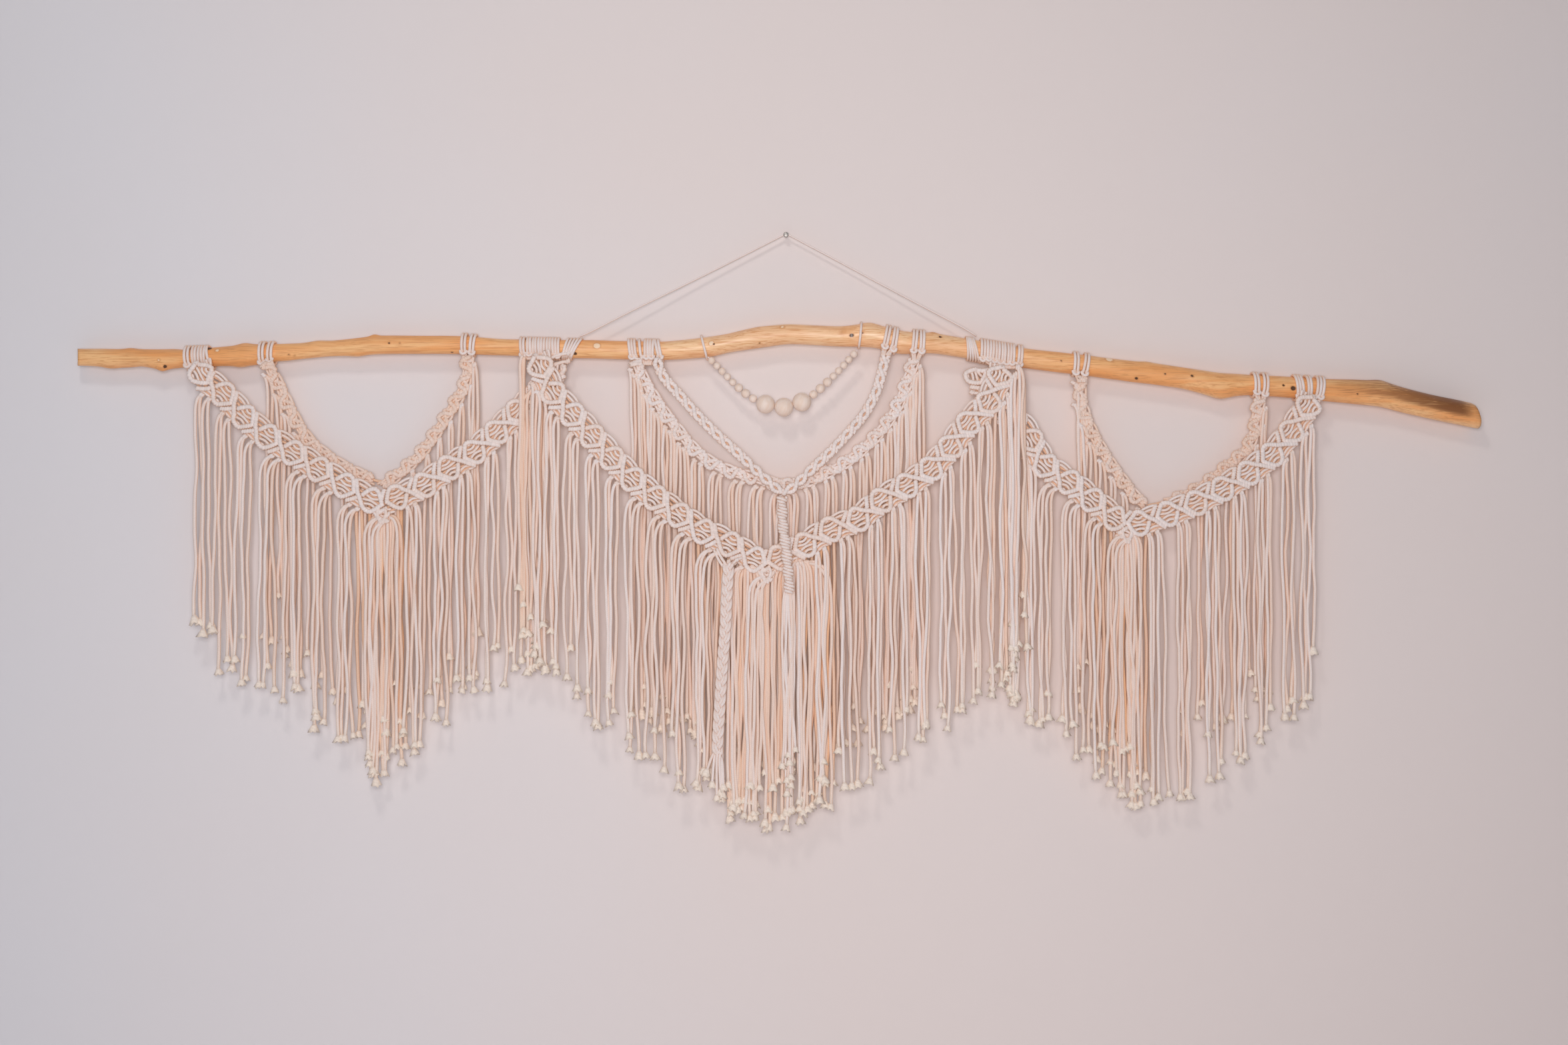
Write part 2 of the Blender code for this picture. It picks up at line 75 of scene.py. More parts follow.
# Knots of the wood: x, z on the side towards the viewer (past an edge it means that edge), radius, how far
# it stands out, and how dark it is, or how pale where that is under zero.
TOP_EDGE, LOW_EDGE = -100, -400
WOOD_KNOTS = (
    (-983, TOP_EDGE, 9.0, 1.8, 0.1), (-1013, LOW_EDGE, 12.0, 2.6, 0.1), (-966, LOW_EDGE, 11.0, -2.4, 0.0),
    (-934, -202, 8.0, 5.0, 0.22), (-936, -191, 2.6, 0.5, -0.5), (-928, -199.4, 2.2, -1.5, 1.0),
    (-898, LOW_EDGE, 9.0, -1.5, 0.0), (-900, TOP_EDGE, 10.0, -1.6, 0.0), (-863.5, -173.4, 4.0, 1.4, 0.9),
    (-849.5, -176.4, 3.2, 0.6, -0.6), (-812.5, TOP_EDGE, 10.0, 2.8, 0.1),
    (-818.5, LOW_EDGE, 9.0, 2.2, 0.15), (-765, LOW_EDGE, 10.0, -1.5, 0.0), (-743, -183, 2.6, -0.3, 0.5),
    (-735, -184.5, 2.4, -0.3, 0.45), (-702.5, TOP_EDGE, 12.0, 2.0, 0.1), (-642.5, LOW_EDGE, 12.0, 2.0, 0.1),
    (-617.5, TOP_EDGE, 6.0, 2.6, 0.25), (-592.5, -165.4, 2.2, 0.3, 0.65), (-576.5, -165.4, 2.0, 0.3, 0.55),
    (-499.5, -178.4, 2.2, 0.3, 0.65), (-315.5, -181.4, 2.5, -0.8, 1.0), (-282.5, -169.4, 4.2, 0.9, -0.8),
    (-111.5, -166.4, 3.0, 0.6, -0.9), (-107.5, -167.5, 1.6, 0.0, 0.8), (-39.5, -165.4, 1.8, 0.2, 0.6),
    (-5.5, -141.4, 4.0, 0.5, -0.5), (66, -148, 8.0, 0.5, 0.2), (84, -150, 6.0, 0.7, 0.38),
    (98, -154.2, 2.8, -0.8, 1.0), (114.5, -150.4, 1.8, 0.2, 0.7), (125.5, TOP_EDGE, 10.0, 1.6, 0.1),
    (169.5, LOW_EDGE, 12.0, 1.8, 0.1), (220.5, -149.4, 6.0, 2.0, 0.35), (230.5, -155.4, 2.2, 0.3, 0.85),
    (410.5, -192.4, 2.0, 0.2, 0.6), (483.5, -189.4, 5.0, 0.8, -0.7), (523.5, -218, 2.6, 0.2, 0.8),
    (540.5, TOP_EDGE, 9.0, 1.4, 0.1), (565.5, -212, 2.0, 0.2, 0.7), (605.5, -215, 2.6, 0.2, 0.7),
    (652, LOW_EDGE, 13.0, 2.4, 0.1), (742, -229, 2.0, -0.3, 0.8), (756.5, -233.3, 3.2, -0.6, 1.0),
    (852, -242, 2.6, 0.3, 0.6), (890, TOP_EDGE, 12.0, 1.6, 0.1),
)
LEFT_END, RIGHT_END = BRANCH[0][0], BRANCH[-1][0]
BRANCH_STATIONS = 480
BRANCH_CORNERS = 54
# How much longer than wide a wood knot is, squared, and how far its shade reaches, in its radii.
KNOT_STRETCH = 1.4
KNOT_SHADE = 1.8
# Sawn ends: share by which each ring that closes them draws in, how far they slant and over what length.
END_RINGS = (0.07, 0.55, 0.93)
RIGHT_END_SLANT = 9.0
LEFT_END_SLANT = 5.0
END_LENGTH = 12

# Steps of one turn of cord round the branch.
TURN_STEPS = 22
# Lark's head loops round the branch: node, groups as left x, right x, strands and lean, and the x and z
# below them.
LOOPS = (
    ("loops_left_outer", ((-900, -889.5, 2, -3), (-888, -866, 5, -3), (-865.5, -860.5, 1, -8)), -878, -196),
    ("loops_left_back_outer", ((-788.5, -778, 2, 0), (-776, -765.5, 2, 1)), -774, -200),
    ("loops_left_back_inner", ((-486.5, -476.5, 2, 1), (-474, -463.5, 2, 3)), -475, -190),
    ("loops_left_centre", ((-398.5, -389.5, 2, -2), (-388.5, -338, 12, -1)), -372, -186),
    ("loops_inner_left",
     ((-236, -223, 3, -4), (-220, -215.8, 1, -4), (-212.5, -197, 4, 0), (-195, -186, 2, -7)), -208, -194),
    ("loops_inner_right", ((146, 155, 2, 8), (158, 167, 2, 6)), 149, -180),
    ("loops_middle_right", ((187.5, 196.5, 2, 4), (199, 208, 2, 2)), 194, -188),
    ("loops_right_centre", ((290, 342.5, 12, 2), (345, 354, 2, 3)), 326, -200),
    ("loops_right_back_inner", ((428.5, 438.5, 2, 2), (443, 453.5, 2, 6)), 441, -220),
    ("loops_right_back_outer", ((697.5, 707.5, 2, -1), (710.5, 721, 2, 2)), 709, -250),
    ("loops_right_outer", ((760.5, 773, 3, -4), (776.5, 785.5, 2, 0), (790, 804, 3, 5)), 786, -250),
)
# Plain turns round the branch: node, left x, right x, turns, lean of the first and last turn, cord radius.
WRAPS = (
    ("hanger_wrap_left", -332.5, -312.5, 5, 9, 17, 2.0),
    ("hanger_wrap_right", 269.5, 285.5, 5, -2, -9, 1.8),
    ("garland_wrap_left", -127, -118, 1, -9, -9, 1.9),
    ("garland_wrap_right", 108, 114, 1, 4, 4, 1.9),
)

# Planes of the layers, and the sorts of band: half the width and thickness, how far back the lining lies,
# and the radius and reach of the small knots.
FRONT_Y = -45.0
SWAG_Y = -36.0
INNER_Y = -36.5
MIDDLE_Y = -27.5
BACK_Y = -26.5
WIDE = {"half_width": 18.0, "half_thick": 4.0, "lining": 3.4, "knots": (4.0, 3.3)}
NARROW = {"half_width": 8.5, "half_thick": 3.5, "lining": 2.8, "knots": (3.5, 3.6)}
PLAIN = {"half_width": 9.0, "half_thick": 3.0, "lining": 2.2, "knots": (2.9, 2.8)}

# Bands: node, sort, plane, diamonds, run to the first diamond and from each to the next, and the middle
# line from the branch to the point of the V as x, z pairs.
BANDS = (
    ("swag_left_a", WIDE, SWAG_Y, 8, 20.0, 45.5,
     ((-877, -191), (-866, -219), (-843, -238), (-812, -272), (-777, -303), (-741, -326), (-702, -351),
      (-662, -376), (-630, -395), (-603.15, -406))),
    ("swag_left_b", WIDE, SWAG_Y, 8, 4.7, 44.6,
     ((-346, -195), (-348, -212), (-368, -238), (-400, -268), (-431, -298), (-466, -329), (-506, -354),
      (-542, -379), (-581, -396), (-602.85, -406))),
    ("centre_a", WIDE, FRONT_Y, 11, 22.6, 43.7,
     ((-374, -180), (-349, -236), (-319, -271), (-288, -305), (-227, -370), (-158, -423), (-122, -447),
      (-85, -465), (-52, -485), (-29.15, -494))),
    ("centre_b", WIDE, FRONT_Y, 11, 17.3, 43.9,
     ((325, -198), (303, -252), (273, -284), (246, -320), (216, -353), (181, -378), (142, -401),
      (108, -428), (67, -444), (30, -466), (-6, -484), (-28.85, -494))),
    ("swag_right_a", WIDE, SWAG_Y, 8, 10.0, 43.4,
     ((284, -200), (287, -216), (316, -254), (357, -296), (385, -345), (420, -371), (457, -400),
      (491, -427), (508.85, -435))),
    ("swag_right_b", WIDE, SWAG_Y, 8, 18.9, 45.0,
     ((787, -243), (756, -295), (730, -328), (693, -358), (654, -382), (613, -404), (569, -421),
      (530, -434), (509.15, -435))),
    ("back_left_a", NARROW, BACK_Y, 8, 6.6, 31.9,
     ((-775, -194), (-764, -220), (-741, -270), (-716, -310), (-677, -342), (-635, -364), (-602.15, -375))),
    ("back_left_b", NARROW, BACK_Y, 8, 17.8, 30.0,
     ((-475, -183), (-482, -225), (-495, -251), (-511, -276), (-527, -301), (-552, -334), (-580, -359),
      (-601.85, -375))),
    ("middle_a", NARROW, MIDDLE_Y, 10, 3.5, 32.2,
     ((-226, -192), (-210, -226), (-188, -262), (-163, -295), (-139, -323), (-114, -343), (-82, -358),
      (-52, -366), (-5.15, -379))),
    ("middle_b", NARROW, MIDDLE_Y, 10, 26.0, 29.9,
     ((194, -181.6), (184, -210), (174, -240), (161, -268), (147, -288), (131, -307), (112, -325),
      (92, -341), (67, -355), (34, -370), (-4.85, -379))),
    ("back_right_a", NARROW, BACK_Y, 8, 1.5, 29.6,
     ((441, -215), (440, -239), (446, -269), (457, -296), (471, -322), (487, -347), (504, -371),
      (522, -394), (539.85, -410))),
    ("back_right_b", NARROW, BACK_Y, 8, 23.0, 27.4,
     ((709, -243), (704, -265), (702, -293), (695, -313), (684, -330), (665, -345), (645, -362),
      (620, -381), (580, -400), (540.15, -410))),
    ("inner_a", PLAIN, INNER_Y, 11, 10.4, 19.6,
     ((-193, -188.6), (-184, -214), (-158, -244), (-132, -273), (-104, -301), (-74, -328), (-43, -357),
      (-15, -382), (-6.15, -389))),
    ("inner_b", PLAIN, INNER_Y, 12, 2.7, 19.4,
     ((150, -179), (145, -201), (135, -237), (118, -270), (92, -301), (64, -330), (34, -358), (9, -382),
      (-5.85, -389))),
)

# One diamond of a wide band: rows of half hitches as coils, radius and path. A path's points are along the
# band in pitches from the diamond's middle, across it in half widths with the upper edge positive, and out
# to the viewer in millimetres. On a band that runs down to the left the rows and fillers are mirrored from
# edge to edge.
WIDE_BARS = (
    (20, 3.95,
     ((-0.79, 1.00, -0.8), (-0.66, 0.58, 0.9), (-0.53, 0.14, 1.4), (-0.40, -0.18, 1.3), (-0.28, -0.48, 1.1),
      (-0.18, -0.78, 1.0), (-0.04, -0.96, 1.0), (0.10, -0.93, 1.0), (0.21, -0.64, 1.0), (0.31, -0.30, 0.9),
      (0.38, -0.04, 0.0))),
    (12, 3.9,
     ((-0.34, 0.04, -2.0), (-0.30, 0.24, 0.5), (-0.24, 0.52, 1.0), (-0.14, 0.84, 1.0), (0.00, 0.96, 1.0),
      (0.13, 0.82, 1.0), (0.23, 0.52, 1.0), (0.33, 0.14, 0.8), (0.41, -0.12, -0.6))),
    (6, 3.8, ((0.28, -1.04, -0.6), (0.38, -0.76, 0.6), (0.48, -0.46, 0.7), (0.57, -0.16, -1.6))),
)
WIDE_FILLERS = (
    ((-0.20, 0.66, -1.6), (0.0, 0.46, 0.3), (0.19, 0.64, -1.6)),
    ((-0.28, 0.30, -1.6), (0.0, 0.13, 0.5), (0.27, 0.30, -1.6)),
    ((-0.28, -0.22, -1.6), (0.0, -0.09, 0.5), (0.28, -0.22, -1.6)),
    ((-0.22, -0.56, -1.6), (0.0, -0.37, 0.4), (0.22, -0.54, -1.6)),
    ((-0.12, -0.90, -1.6), (0.0, -0.74, -0.6), (0.12, -0.88, -1.6)),
)
WIDE_EDGE_CORDS = (
    ((-0.77, 1.00, -1.2), (-0.57, 1.10, -0.2), (-0.36, 1.09, -0.2), (-0.16, 0.96, -1.2)),
    ((-0.68, 0.74, -1.6), (-0.47, 0.80, -0.6), (-0.24, 0.72, -1.6)),
    ((0.36, -0.68, -1.6), (0.55, -0.58, -0.4), (0.76, -0.70, -1.6)),
    ((0.28, -0.98, -2.2), (0.52, -0.90, -1.6), (0.80, -1.00, -2.2)),
)
WIDE_LINING = (0.66, 0.30, -0.06, -0.42, -0.78)
# Knots that let the fringe out: along, across, and the x of their two strands from the diamond's middle.
WIDE_KNOTS = {
    "a": ((0.46, -1.16, (-10.5, -4.6)), (0.73, -1.14, (0.0, 7.8))),
    "b": ((-0.47, -1.10, (28.8, 34.3)), (-0.20, -1.14, (15.8, 21.3))),
}
# One unit of a narrow band, in the same way.
NARROW_BARS = (
    (16, 3.8,
     ((-0.60, 0.85, -0.6), (-0.47, 0.30, 0.7), (-0.41, -0.20, 0.8), (-0.31, -0.68, 0.7),
      (-0.15, -0.95, 0.7), (-0.02, -0.82, 0.7), (0.04, -0.38, 0.7), (0.08, 0.20, 0.7), (0.14, 0.66, 0.7),
      (0.24, 0.84, 0.6), (0.35, 0.62, 0.4), (0.43, 0.28, -1.2))),
    (10, 3.3,
     ((-0.56, -0.84, -1.4), (-0.42, -0.62, -0.8), (-0.28, -0.10, -0.8), (-0.14, 0.46, -0.6),
      (0.04, 0.88, -0.4), (0.20, 0.58, -0.6), (0.33, 0.02, -0.8), (0.42, -0.52, -1.4))),
)
NARROW_FILLERS = (
    ((-0.56, 0.92, -1.2), (-0.25, 1.04, 0.0), (0.10, 0.90, -1.2)),
    ((-0.45, 0.62, -1.2), (-0.22, 0.30, 0.0), (0.02, 0.16, -1.2)),
    ((-0.36, 0.02, -2.0), (-0.22, -0.32, -1.2), (-0.02, -0.45, -2.0)),
    ((0.06, 0.10, -1.2), (0.26, -0.06, 0.2), (0.50, -0.22, -1.2)),
    ((0.00, -0.52, -2.0), (0.27, -0.50, -1.0), (0.62, -0.66, -2.0)),
)
NARROW_LINING = (0.1,)
PLAIN_LINING = (-0.3, 0.0, 0.3)
NARROW_KNOTS = {
    "middle_a": ((0.20, -1.36, (-7.5, -2.0)), (0.51, -1.26, (4.5, 9.5))),
    "middle_b": ((-0.32, -1.40, (15.0, 20.0)), (0.05, -1.46, (4.5, 9.5))),
    "back_a": ((0.30, -1.36, (-3.0, 3.5)),),
    "back_b": ((-0.15, -1.40, (9.5, 15.0)),),
}

# Lining: where along the band it starts, step of its points, and how far its colour is mixed towards the
# depth colour as painted depth shade. Then the painted depth shade of the backmost bands, and the fillers'
# radius as a share of the cord's.
LINING_START = 10.0
LINING_STEP = 4.5
LINING_TINT = 0.7
BACK_TINT = 0.25
FILLER_SHARE = 0.92
# Start of a band, in half widths. A unit that would reach past it, this many pitches from its middle, is
# drawn in to the room there is, but no less than a least share, and what is still before the start loses
# most of its width.
START_SHARE = 0.3
UNIT_REACH = 0.42
LEAST_ROOM = 0.1
START_WIDTH = 0.15
# Bow where two bands meet: how far under their end it is, and its size.
BOW_DROP = 14
BOW_SIZE = 13

# Units at the start of a band, hard by the branch, that have no fringe knots.
KNOTLESS = {"swag_right_b": 1}

# Fringes: band that carries it, left and right x, tips from left to right as x, z pairs, and more strands
# as the x and z they come from, first and last plumb line and count.
FRINGES = (
    ("swag_left_a", -896, -603.3,
     ((-896, -590), (-880, -602), (-845, -661), (-776, -690), (-735, -725), (-668, -773), (-609, -825)),
     ((-604, -425, -624, -604, 5),)),
    ("swag_left_b", -602.7, -364,
     ((-602, -825), (-568, -790), (-539, -761), (-480, -725), (-439, -696), (-404, -673), (-345, -637)),
     ((-597, -425, -600, -576, 6),)),
    ("centre_a", -397, -29.3,
     ((-397, -610), (-351, -673), (-304, -708), (-274, -749), (-233, -784), (-186, -808), (-139, -855),
      (-109, -850), (-68, -890), (-33, -908)),
     ((-389, -187, -403, -391, 3), (-372, -240, -394, -350, 7), (-58, -500, -88, -31, 12))),
    ("centre_b", -28.7, 358,
     ((-33, -908), (26, -882), (91, -849), (161, -808), (220, -755), (279, -720), (320, -680), (362, -610)),
     ((20, -492, -27, 66, 18), (346, -212, 348, 359, 4), (318, -262, 304, 342, 6))),
    ("swag_right_a", 326, 508.7,
     ((300, -660), (326, -700), (361, -731), (420, -773), (449, -814), (509, -855)),
     ((507, -452, 488, 508, 5),)),
    ("swag_right_b", 509.3, 826,
     ((509, -855), (561, -873), (614, -849), (655, -820), (714, -778), (755, -731), (779, -714),
      (830, -655)),
     ((511, -452, 510, 531, 6),)),
    ("back_left_a", -786, -602.3, ((-790, -600), (-700, -690), (-602, -760)), ()),
    ("back_left_b", -601.7, -460, ((-602, -760), (-520, -715), (-455, -670)), ()),
    ("middle_a", -237, -5.3, ((-240, -730), (-145, -761), (-85, -784), (-5, -829)), ()),
    ("middle_b", -4.7, 207, ((-5, -829), (65, -791), (140, -750), (210, -700)), ()),
    ("back_right_a", 415, 539.7, ((410, -690), (490, -770), (540, -810)), ()),
    ("back_right_b", 540.3, 726, ((540, -810), (620, -770), (725, -700)), ()),
)
# Share by which a hanging strand is thicker than a knotted one.
STRAND_SWELL = 1.18
# Nearest layer of a fringe before its band's plane, and the step to the next. Painted depth shade in a
# fringe's colour: of the narrow bands', and for each millimetre behind the nearest layer.
NEAREST = 1.2
LAYER_STEP = 2.0
NARROW_TINT = 0.08
DEPTH_TINT = 0.07
# How far from the point of the V the strands behind reach, by the band's plane, and their distance apart.
FILL_REACH = {FRONT_Y: 105, SWAG_Y: 42}
FILL_STEP = 9.0
# Strands' tips draw together, by a share, in groups this far apart, and no strand is shorter than this.
# Tips lie above the outline, those behind by more; some strands are much shorter and the others a little.
GATHER = 26
DRAWN_SHARE = 0.25
SHORTEST_STRAND = 60
LIFTED, LIFTED_BEHIND = 7, 18
SHORT_SHARE = 0.25
MUCH_SHORTER, LITTLE_SHORTER = (30, 85), (0, 34)
# Share of a strand's drop at which its corners are read, close together where it bends out of its knot.
DROPS = (0, 0.004, 0.011, 0.022, 0.04, 0.065, 0.1, 0.145, 0.19, 0.235, 0.28, 0.325, 0.37, 0.415, 0.46,
         0.505, 0.55, 0.595, 0.64, 0.685, 0.73, 0.775, 0.82, 0.87, 0.92, 0.965, 1.0)

# Drop in which a strand bends to its plumb line, and more of it for each millimetre that it goes aside.
# Drops in which it becomes free to sway and reaches its layer. Height of its arch over the knot, reached at
# a drop, by a strand that goes so far aside or further.
BEND = 5.0
BEND_ASIDE = 0.12
FREE_DROP = 45
LAYER_DROP = 14
ARCH = 1.9
ARCH_DROP = 3
ARCH_ASIDE = 8
# Waves of a hanging strand: least and most length, least and most height.
WAVES = ((130, 280, 0.8, 2.6), (60, 95, 0.15, 0.6))
# Frayed end: radius where it begins, its least length, and the flare of a fringe's ends.
BRUSH_RADIUS = 2.6
BRUSH_LENGTH = 3.8
BRUSH_FLARE = (3.6, 5.4)

# Screw and the thin cord over it.
SHANK_RADIUS = 2.3
HEAD_RADIUS = 3.9
HEAD_FRONT = -15.0
HEAD_BACK = -12.6
SLOT_DEPTH = 1.3
SLOT_HALF = 0.62
SLOT_REACH = 2.5
STRAND_RADIUS = 0.95
STRAND_PLANES = (-10.8, -8.6)
OVER_SCREW = SHANK_RADIUS + GAP + STRAND_RADIUS
LOOPS_REACH = (GAP + CORD) / math.cos(math.pi / 12) + GAP
HANGER_ROUTE = ((-309.5, -155.5), (-292, -146.5), (-230, -114.5), (-150, -74.5), (-75, -36.5), (-12, -4.2),
                (-5.2, -0.8), (-2.4, 2.7), (0, OVER_SCREW), (2.4, 2.7), (5.2, -0.7), (12, -4.0), (70, -35),
                (140, -73), (210, -111), (262, -139), (286, -152))
HANGER_STEPS = 3

# Bead garland: its cord's route and the beads by diameter from the left.
GARLAND_Y = -32.0
GARLAND_ROUTE = ((-116.6, -186.0), (-109, -193.5), (-93, -210), (-71, -232), (-48, -249), (-22, -260.5),
                 (2, -262.5), (26, -253.5), (51, -233.5), (78, -207.5), (100, -183), (106.8, -176.2))
GARLAND_RADIUS = 1.2
BORE_RADIUS = 1.75
LEFT_BEADS = (11.3, 11.3, 11.3, 11.3, 11.3, 13.2, 13.8, 12.6)
BIG_BEADS = (28.6, 29.0, 28.8)
RIGHT_BEADS = (13.0, 14.2, 14.0, 11.3, 11.3, 11.3, 11.3, 11.3)

# Middle lines of the spiral sennit and of the braid: x, y, z.
SENNIT = ((-6, -40.5, -396), (-5.5, -43, -420), (-4, -51.5, -447), (-1, -56.8, -464), (3, -56.8, -505),
          (5, -54.6, -538))
SENNIT_TURNS = 15.5
SENNIT_CORE = 4.0
# The spiral's reach, its lobe, how often the lobe goes round, and its width and depth as shares of reach.
SENNIT_REACH = 4.7
SENNIT_LOBE = 1.4
LOBE_TURNS = 3.2
SENNIT_WIDTH = 1.12
SENNIT_DEPTH = 0.82
BRAID = ((-85, -52.1, -494), (-86, -52.1, -512), (-88, -52.1, -545), (-90, -52.1, -590), (-94, -52.1, -640),
         (-98, -52.1, -700), (-101, -52.1, -750), (-102, -52.1, -776))
BRAID_WAVE = 47
BRAID_SWING = 4.9
BRAID_DEPTH = 3.4
BRAID_PAIR = 2.2
# Plane in which the loose ends of both hang.
LOOSE_PLANE = -50.8

# Stage, in metres: the wall's face, the floor, the camera's x and z and its sensor's width in millimetres,
# the spot that the lights are turned to, the power of the light behind, and the x of the middle of the
# pool of light painted on the branch.
WALL_Y = 0.0015
FLOOR_Z = -1.5
CAMERA_X, CAMERA_Z = -0.003, -0.4334
SENSOR_WIDTH = 36
LIGHTS_AIM = (0, 0, -0.45)
BEHIND_POWER = 20
LIT_MIDDLE_X = 0.05


# --- Surfaces ---


def bend(a, b, c, d, t):
    """Catmull-Rom curve between four points in a row, at the share t of the way from b to c."""
    square = (2 * a - 5 * b + 4 * c - d) * t ** 2
    cube = (3 * b - a - 3 * c + d) * t ** 3
    return 0.5 * (2 * b + (c - a) * t + square + cube)


def through(points, steps):
    """Catmull-Rom curve through the points, the given number of steps from each point to the next."""
    points = np.array(points, float)
    ends = np.vstack([2 * points[0] - points[1], points, 2 * points[-1] - points[-2]])
    t = np.linspace(0, 1, steps, endpoint=False)[:, None]
    curve = [bend(*four, t) for four in zip(ends, ends[1:], ends[2:], ends[3:])]
    return np.vstack(curve + [points[-1:]])


def run_of(path):
    """Length of a path up to each of its points."""
    return np.concatenate([[0], np.cumsum(np.linalg.norm(np.diff(path, axis=0), axis=1))])


def smooth(points, count):
    """The curve through the points, read at equal steps of its length."""
    curve = through(points, 16)
    run = run_of(curve)
    at = np.linspace(0, run[-1], count)
    return np.column_stack([np.interp(at, run, column) for column in curve.T])


def smooth_paths(controls, count):
    """Catmull-Rom curves through each row of control points, read at steps as even as their mean
    chords allow."""
    controls = np.asarray(controls, float)
    first = 2 * controls[:, :1] - controls[:, 1:2]
    last = 2 * controls[:, -1:] - controls[:, -2:-1]
    ends = np.concatenate([first, controls, last], axis=1)
    chords = np.linalg.norm(np.diff(controls, axis=1), axis=2).mean(axis=0)
    run = np.concatenate([[0], np.cumsum(chords)])
    at = np.interp(np.linspace(0, run[-1], count), run, np.arange(len(run)))
    span = np.minimum(at.astype(int), len(chords) - 1)
    return bend(*(ends[:, span + shift] for shift in range(4)), (at - span)[None, :, None])


def grid_skin(rings, run, tint=0.0, fray=0.0, looped=False, domed=0.35):
    """Skin over rings of corners, one grid for each tube: the grid's two parameters are the step along the
    tube and the corner round it. A tube that isn't looped ends in a pole, pushed out by domed of the last
    ring's radius."""
    tubes, steps, corners = rings.shape[:3]
    rows = steps if looped else steps - 1
    index = np.arange(tubes * steps * corners).reshape(tubes, steps, corners)
    here, ahead = index[:, :rows], np.roll(index, -1, axis=1)[:, :rows]
    quads = np.stack([here, np.roll(here, -1, axis=2), np.roll(ahead, -1, axis=2), ahead], axis=-1)
    turn = np.arange(corners) / corners
    uv = np.empty((*quads.shape, 2))
    uv[..., 0] = turn[:, None] + np.array([0, 1, 1, 0]) / corners
    closed_run = np.concatenate([run, run[:, -1:] + run[:, 1:2] - run[:, :1]], axis=1)
    uv[..., 1] = closed_run[:, np.arange(rows)[:, None] + np.array([0, 0, 1, 1])][:, :, None]
    points = [rings.reshape(-1, 3)]
    triangles, turns, runs = [np.zeros((0, 3), int)], [np.zeros(0)], [np.zeros(0)]
    if not looped:
        middles = rings.mean(axis=2)
        radii = np.linalg.norm(rings - middles[:, :, None], axis=3).mean(axis=2)
        for end, inside, sense in ((0, 1, -1), (-1, -2, 1)):
            poles = index.size + tubes * (len(points) - 1) + np.arange(tubes)
            outward = unit(middles[:, end] - middles[:, inside])
            points.append(middles[:, end] + outward * radii[:, end, None] * domed)
            rim = [index[:, end], np.roll(index[:, end], -1, axis=1)][::sense]
            fan = np.stack([np.broadcast_to(poles[:, None], rim[0].shape), *rim], axis=-1)
            triangles.append(fan.reshape(-1, 3))
            turns.append(np.tile(turn, tubes))
            runs.append(np.repeat(run[:, end], corners))
    fan_uv = np.column_stack([np.concatenate(turns), np.concatenate(runs)])
    skin = {
        "points": np.vstack(points),
        "quads": quads.reshape(-1, 4),
        "quad_uv": uv.reshape(-1, 4, 2),
        "triangles": np.concatenate(triangles),
        "triangle_uv": np.stack([fan_uv] * 3, axis=1),
    }
    for key, value in (("tint", tint), ("fray", fray)):
        each = np.reshape(value, (-1, 1)) if np.ndim(value) == 1 else value
        value = np.broadcast_to(each, (tubes, steps))
        at_poles = [] if looped else [value[:, 0], value[:, -1]]
        skin[key] = np.concatenate([np.repeat(value.ravel(), corners), *at_poles])
    return skin


def unit(vectors):
    """The vectors at length one."""
    return vectors / np.maximum(np.linalg.norm(vectors, axis=-1, keepdims=True), 1e-9)


def spokes(along, corners, facing=WALLWARD, flat=1.0):
    """Unit vectors round each direction: cos a * side + sin a * front, side = along x facing, front = along
    x side, and flat squeezes them from front to back."""
    side = unit(np.cross(along, facing))
    front = np.cross(along, side)
    turn = np.arange(corners) * 2 * np.pi / corners
    return np.cos(turn)[:, None] * side[..., None, :] + np.sin(turn)[:, None] * flat * front[..., None, :]


def tube_rings(paths, radii, corners, facing=WALLWARD, lean=0.0, flat=1.0, looped=False):
    """Rings square to each path: centre + radius * spokes. With lean a ring tips along the path by
    lean * radius * cos a."""
    if looped:
        along = unit(np.roll(paths, -1, axis=1) - np.roll(paths, 1, axis=1))
    else:
        along = unit(np.gradient(paths, axis=1))
    cosine = np.cos(np.arange(corners) * 2 * np.pi / corners)[:, None]
    reach = spokes(along, corners, facing, flat) + lean * cosine * along[:, :, None]
    radii = np.broadcast_to(radii, paths.shape[:2])
    return paths[:, :, None] + radii[:, :, None, None] * reach


def runs_of(paths):
    """Length up to each point of each path, in centimetres, which is what a cord's texture is scaled to."""
    steps = np.linalg.norm(np.diff(paths, axis=1), axis=2)
    return np.concatenate([np.zeros((len(paths), 1)), np.cumsum(steps, axis=1)], axis=1) / 10


def cords(paths, radii=CORD_RADIUS, corners=CORD_CORNERS, tint=0.0, fray=0.0, facing=WALLWARD,
          looped=False):
    """Round cords along the paths, each a circle of the radius carried along its path."""
    paths = np.asarray(paths, float)
    rings = tube_rings(paths, radii, corners, facing, looped=looped)
    return grid_skin(rings, runs_of(paths), tint, fray, looped)


def plain_twist(skin):
    """The skin with its map drawn together to one line, so that no twist runs over its coils."""
    for key in ("quad_uv", "triangle_uv"):
        skin[key] = skin[key] * np.array([0.0, 1.0]) / 8
    return skin


COIL_SHAPE = np.array([0.80, 0.97, 1.03, 0.97])


